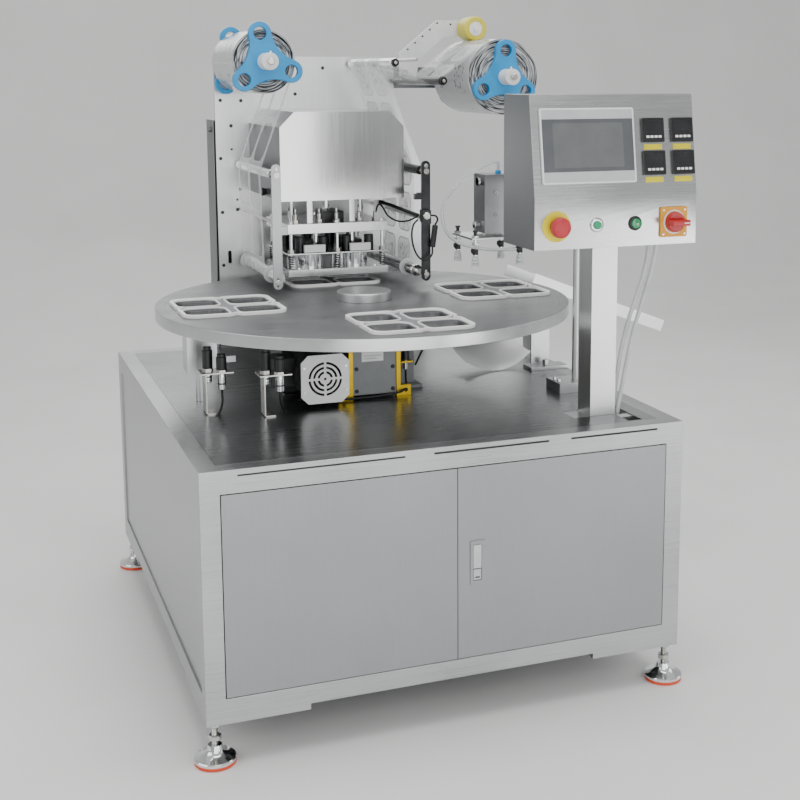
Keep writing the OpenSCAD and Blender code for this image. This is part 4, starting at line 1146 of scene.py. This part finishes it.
def screen_and_controllers():
    """The touch screen, four temperature controllers with their tags, and three push or turn controls."""
    made = Piece("panel_instruments", "machine", "black_plastic", "panel_fittings")
    place = on_upper(262, 98)
    glass = (0, 1)
    made.add(slab([rounded(202, 146, 4)], -6, 0, 1.2), GREY_ABS, place)
    made.add(slab([rounded(201, 145, 4), rounded(195, 139, 2)], -6.6, -5, 0.5), WHITE_ABS, place)
    made.add(slab([rounded(194, 101, 1, glass)], -6.5, -5, 0.2), DISPLAY_RIM, place)
    made.add(slab([rounded(150, 86, 1, glass)], -6.8, -6, 0.2), SCREEN, place)
    for place in [on_upper(x, up) for x in (405, 470) for up in (62, 126)]:
        made.add(slab([rounded(48, 48, 2.5)], -7, 0, 1), BLACK_ABS, place)
        made.add(slab([rounded(42, 24, 1.5, (0, 8)), rounded(38, 20, 1, (0, 8))], -7.8, -6.5), BLACK_ABS,
                 place)
        made.add(slab([rounded(38.6, 20.6, 1, (0, 8))], -7.2, -6, 0.2), DISPLAY, place)
        for k in range(4):
            made.add(slab([rounded(6.6, 4.6, 1, (-13.5 + 9 * k, -13))], -8, -6.6), WHITE_ABS, place)
        made.add(slab([rounded(40, 11, 1, (0, -32.5))], -1.5, 0, 0.3), YELLOW_ABS, place)
        for x in (-17, 17):
            made.add(slab([circle(1.4, (x, -32.5), 14)], -2, -1, 0.3), NICKEL, place)
    stop, start, run, isolator = (on_lower(x) for x in BUTTONS)
    made.turned(YELLOW_ABS, [(14.5, 0), (29, 0), (30, 0.6), (30, 1.4), (29, 2), (14.5, 2)], stop, steps=56)
    made.turned(BLACK_ABS, [(9, 0), (14.5, 0), (14.5, 3), (13, 4), (9, 4)], stop, steps=40)
    bezel = [(9, 0), (14.5, 0), (14.5, 2), (13, 4.5), (11, 5), (10.4, 4), (9, 4)]
    made.turned(CHROME, bezel, start, steps=40)
    made.turned(BLACK_ABS, bezel, run, steps=40)
    lamp = [(0, -8), (9, -8), (10.2, 3), (10.2, 6), (9, 8.2), (6, 9.2), (0, 9.6)]
    made.turned(LENS, lamp, run, steps=40)
    square = moved(BUTTONS[3], BOX_FRONT, PANEL) @ UPRIGHT
    made.add(slab([rounded(60, 60, 4), circle(6.6)], -5, 0, 1.2), AMBER_ABS, square)
    made.add(slab([circle(24), circle(21)], -5.6, -4.6, 0.3), WHITE_ABS, square)
    for x in (-24, 24):
        for y in (-24, 24):
            made.add(slab([circle(2.4, (x, y), 18)], -5.8, -4.6), NICKEL, square)
    made.done()

    mushroom = [(0, -10), (8.7, -10), (8.7, 11), (15, 12), (18.5, 12.4), (20, 16), (20, 22), (19, 26),
                (17, 29), (13, 30.6),
                (8, 31), (0, 31)]
    made = Piece("emergency_stop_mushroom", "estop_head", "red_plastic", "estop_head")
    made.turned(DULL_RED, mushroom, stop, steps=48)
    reach = 12.5 * MM
    for k in range(3):
        a = math.radians(90 + 120 * k)
        across = Matrix.Translation((reach * math.cos(a), reach * math.sin(a), 0)) @ Matrix.Rotation(a, 4,
                                                                                                     "Z")
        made.add(slab([[(-1.5, -3), (2.5, 0), (-1.5, 3)]], 30.4, 31.4, 0.2), RED_ABS, stop @ across)
    made.done()

    cap = [(0, -9), (8.7, -9), (8.7, 6), (8.2, 7.6), (7, 8.4), (0, 8.4)]
    Piece("start_button_cap", "start_button", "green_plastic", "start_button").turned(GREEN_ABS, cap, start,
                                                                                      steps=40).done()

    dial = [(0, -12), (5.8, -12), (5.8, 5.4), (19, 5.4), (20, 6.4), (20, 14), (18, 16), (0, 16)]
    made = Piece("isolator_handle", "isolator_knob", "red_plastic", "isolator_knob")
    made.turned(RED_ABS, dial, isolator, steps=48)
    x, y, z = BUTTONS[3], BOX_FRONT, PANEL
    made.bar(RED_ABS, (x - 20, y - 36, z - 6), (x + 20, y - 14, z + 6), 2)
    made.bar(WHITE_ABS, (x + 6, y - 36.3, z - 1), (x + 18, y - 35.5, z + 1), 0.2)
    made.done()


CABLES = (
    ((478, -450, 947), (478, -448, 925), (478, -444, 900), (474, -438, 865), (466, -430, 825),
     (455, -424, 785), (444, -421, 745),
     (434, -420, 700), (426, -420, 655), (420, -420, 610), (417, -420, 580), (416, -420, 550),
     (416, -420, 520)),
    ((496, -450, 947), (496, -449, 930), (495, -446, 905), (490, -441, 870), (481, -436, 830),
     (470, -434, 790), (457, -434, 750),
     (446, -434, 705), (436, -435, 660), (426, -437, 615), (418, -439, 580), (415, -440, 550),
     (414, -440, 520)))
SENSOR_LEADS = (
    ((-372, -150, 622), (-372, -150, 612), (-372, -153, 602), (-374, -158, 593), (-378, -165, 585),
     (-383, -171, 577),
     (-386, -175, 569), (-388, -177, 560), (-388, -177, 550)),
    ((-262, -213, 622), (-262, -213, 612), (-261, -211, 602), (-259, -207, 593), (-256, -202, 585),
     (-252, -197, 577),
     (-249, -193, 569), (-247, -190, 560), (-247, -190, 550)))
AIR_ROUTE = ((338, 34, 1047), (338, 34, 1056), (336, 26, 1066), (327, 10, 1075), (304, -14, 1078),
             (274, -32, 1070), (238, -43, 1054),
             (204, -46, 1030), (178, -46, 1002), (166, -46, 972), (168, -46, 942), (180, -46, 916),
             (202, -46, 898), (230, -45, 887),
             (262, -43, 879), (296, -38, 874), (326, -31, 872), (346, -25, 871), (358, -22.5, 871),
             (366.7, -22, 871))


def cord(name, body, slot, route, radius, finish, replaced=()):
    """A cable or hose between two fixed ends of the machine, of the length of its route."""
    line = smooth_line([at(*p) for p in route])
    made = Piece(name, body, slot, *replaced)
    made.add(hose(line, radius, 14, 1), finish)
    piece = made.done(60)
    return piece


def operator_box():
    """The box on its post, its instruments, and its two cables with their glands."""
    finish_node(STEEL_BRIGHT, "control_post")
    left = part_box("control_box")[0].x
    # The box's left end takes the darker steel: painted shade on that side.
    softened("control_box", STEEL_BOX, 1.2, DULL_AND_SHADED_STEEL, lambda p: p.x < left + 0.001)
    screen_and_controllers()
    for name, route, replaced in (("screen_cable", CABLES[0], ["control_cables"]),
                                  ("power_cable", CABLES[1], ())):
        cord(name, "machine", "grey_cable", route, 4.5, GREY_PVC, replaced)
    places = [moved(*route[0]) for route in CABLES]
    glands = Piece("cable_glands", "machine", "black_plastic")
    for place in places:
        glands.turned(GREY_ABS, [(0, 1), (9, 1), (9, -4), (8, -5), (0, -5)], place, steps=6)
        glands.turned(GREY_ABS, [(0, -4), (8, -4), (8, -13), (6.5, -18), (4.6, -19), (0, -19)], place,
                      steps=28)
    glands.done()


# ---- vacuum pick-up ----


def pickup():
    """The post and box that carry the suction pick-up, its plate with four cups, its hose, and the chute."""
    block_end = at(352, 0, 900)
    softened("pickup_column", ALUMINIUM, 1, GREY_ANODISED, lambda p: p.x < block_end.x and p.z > block_end.z)
    screws("pickup_block_screws", "machine", [at(318, 0, z) for z in (950, 1005)],
           (0, -1, 0), 5, 3.5)
    knob = Piece("pickup_knobs", "machine", "machined_aluminium")
    for z, y in ((1030, 20), (925, 40)):
        knob.turned(CHROME, [(0, 0), (4, 0), (4, 3), (8, 4), (9.6, 6), (9.9, 11), (9, 12), (0, 12)],
                    moved(290, y, z) @ TO_LEFT, steps=32)
    # The plate's middle, the columns it hangs on, and its cups
    x, y, columns, reach = 314, 35, (305, 335), 57
    for rod_x in columns:
        knob.turned(NICKEL, [(0, -2), (8.5, -2), (8.5, 1), (7, 2), (0, 2)],
                    moved(rod_x, y, 908) @ Matrix.Rotation(math.pi, 4, "X"), steps=28)
    knob.turned(BLUE_NYLON, [(0, 0), (7, 0), (7, 6), (5.5, 8), (0, 8)], moved(338, 34, 1047))
    knob.done()
    made = Piece("pickup_plate_fitted", "pickup_plate", "machined_aluminium", "pickup_plate")
    made.bar(ALUMINIUM, (246, -31, 897), (382, 101, 902), 0.8)
    made.turned(CHROME, rod(5, 902, 987), *[moved(rod_x, y, 0) for rod_x in columns])
    cup = [(0, 834.2), (8.6, 834.2), (10, 834), (9.6, 837), (7.6, 840.5), (9.8, 843), (9.8, 844.5), (7, 848),
           (8.4, 850.5),
           (8.4, 852), (6.4, 854.5), (5.4, 859), (0, 860)]
    plug = [(0, 907), (4, 907), (4, 914), (6, 915), (6, 919), (0, 919)]
    elbow = [(0, -5), (6, -5), (6.5, -4), (6.5, 8), (5.4, 9.5), (0, 9.5)]
    for cup_x in (x - reach, x + reach):
        for cup_y in (y - reach, y + reach):
            place = moved(cup_x, cup_y, 0)
            made.turned(FROSTED, cup, place, steps=32)
            made.turned(CHROME, rod(4, 858, 897), place, steps=20)
            made.turned(NICKEL, rod(9, 884, 890), place, steps=6)
            made.turned(NICKEL, rod(9, 902, 907), place, steps=6)
            made.turned(BLACK_ABS, plug, place, steps=20)
            made.turned(BLACK_ABS, elbow, moved(cup_x, cup_y, 871) @ TO_LEFT)
            made.turned(BLACK_ABS, rod(7, 862, 878), place)
    made.done()
    tube = cord("vacuum_tube", None, "clear_film", AIR_ROUTE, 4, CLEAR_TUBE, ["air_tube"])
    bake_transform(tube)
    finish_node(STEEL_BRIGHT, "discharge_chute")
    screws("column_foot_screws", "machine", [at(378, y, 594) for y in (-235, -212)],
           (0, 0, 1), 6.5, 6)


# ---- light and floor ----


def soft_light(name, place, aim, width, height, watts):
    """A white softbox that the camera doesn't see."""
    lamp = bpy.data.lights.new(name, "AREA")
    lamp.shape, lamp.size, lamp.size_y, lamp.energy = "RECTANGLE", width, height, watts
    holder = bpy.data.objects.new(name, lamp)
    holder.location = place
    holder.rotation_euler = (Vector(aim) - Vector(place)).to_track_quat("-Z", "Y").to_euler()
    holder.visible_camera = False
    bpy.context.scene.collection.objects.link(holder)


def studio():
    """Six softboxes, a pale sky, and a floor that sweeps up behind the machine."""
    soft_light("overhead", (0, -0.4, 3.6), (0, 0, 0.7), 2.6, 2.2, 58)
    soft_light("front_softbox", (-0.45, -3.2, 1.3), (-0.45, 0, 1.3), 2.7, 2.6, 46)
    soft_light("low_right_softbox", (2.1, -3.2, 0.45), (2.1, 0, 0.45), 1.4, 0.75, 17)
    soft_light("left_softbox", (-3.0, -0.6, 1.9), (0, 0, 0.8), 2.4, 2.0, 26)
    soft_light("right_fill", (3.0, -0.6, 1.7), (0.2, 0, 0.8), 1.6, 2.0, 14)
    soft_light("back_wash", (0.4, 3.2, 2.6), (0, 0, 1.0), 2.4, 2.0, 30)
    world = bpy.data.worlds.new("studio")
    world.use_nodes = True
    tree = world.node_tree
    where = add(tree, "ShaderNodeTexCoord").outputs["Generated"]
    height = add(tree, "ShaderNodeSeparateXYZ", {0: where}).outputs["Z"]
    background = tree.nodes["Background"]
    tree.links.new(shade(tree, height, "#b4b6b8", "#f4f4f4", -0.35, 0.6), background.inputs["Color"])
    background.inputs["Strength"].default_value = 0.72
    bpy.context.scene.world = world
    finish, tree, shader = material("pale_studio_floor", Roughness=0.5)
    tree.links.new(shade(tree, spots(tree, (420, 420, 420)), "#ebebea", "#f1f1f0"),
                   shader.inputs["Base Color"])
    # The floor's front edge, where it starts to rise, the sweep's radius, the wall's top, and half its width
    front, rise, radius, top, half, drop = -16.0, 3.0, 2.2, 9, 16, 0.0004
    turns = [math.pi / 2 * i / 23 for i in range(24)]
    line = [(front, 0), *[(rise + radius * math.sin(a), radius - radius * math.cos(a)) for a in turns]]
    shape = bmesh.new()
    rows = [[shape.verts.new((x, y, z - drop)) for x in (-half, half)] for y, z in line]
    rows.append([shape.verts.new((x, rise + radius, top)) for x in (-half, half)])
    for a, b in zip(rows, rows[1:]):
        shape.faces.new((a[0], a[1], b[1], b[0]))
    mesh = mesh_of(shape)
    mesh.materials.append(finish)
    mesh.polygons.foreach_set("use_smooth", [True] * len(mesh.polygons))
    floor = bpy.data.objects.new("floor", mesh)
    bpy.context.scene.collection.objects.link(floor)


cabinet()
feet()
turntable()
drive()
table_fittings()
cord("sensor_lead_front", "machine", "black_cable", SENSOR_LEADS[1], 2.5, BLACK_RUBBER, ["sensor_cables"])
cord("sensor_lead_left", "machine", "black_cable", SENSOR_LEADS[0], 2.5, BLACK_RUBBER, ())
press()
film_bars()
rollers()
reels()
films()
operator_box()
pickup()
studio()

bpy.context.view_layer.update()
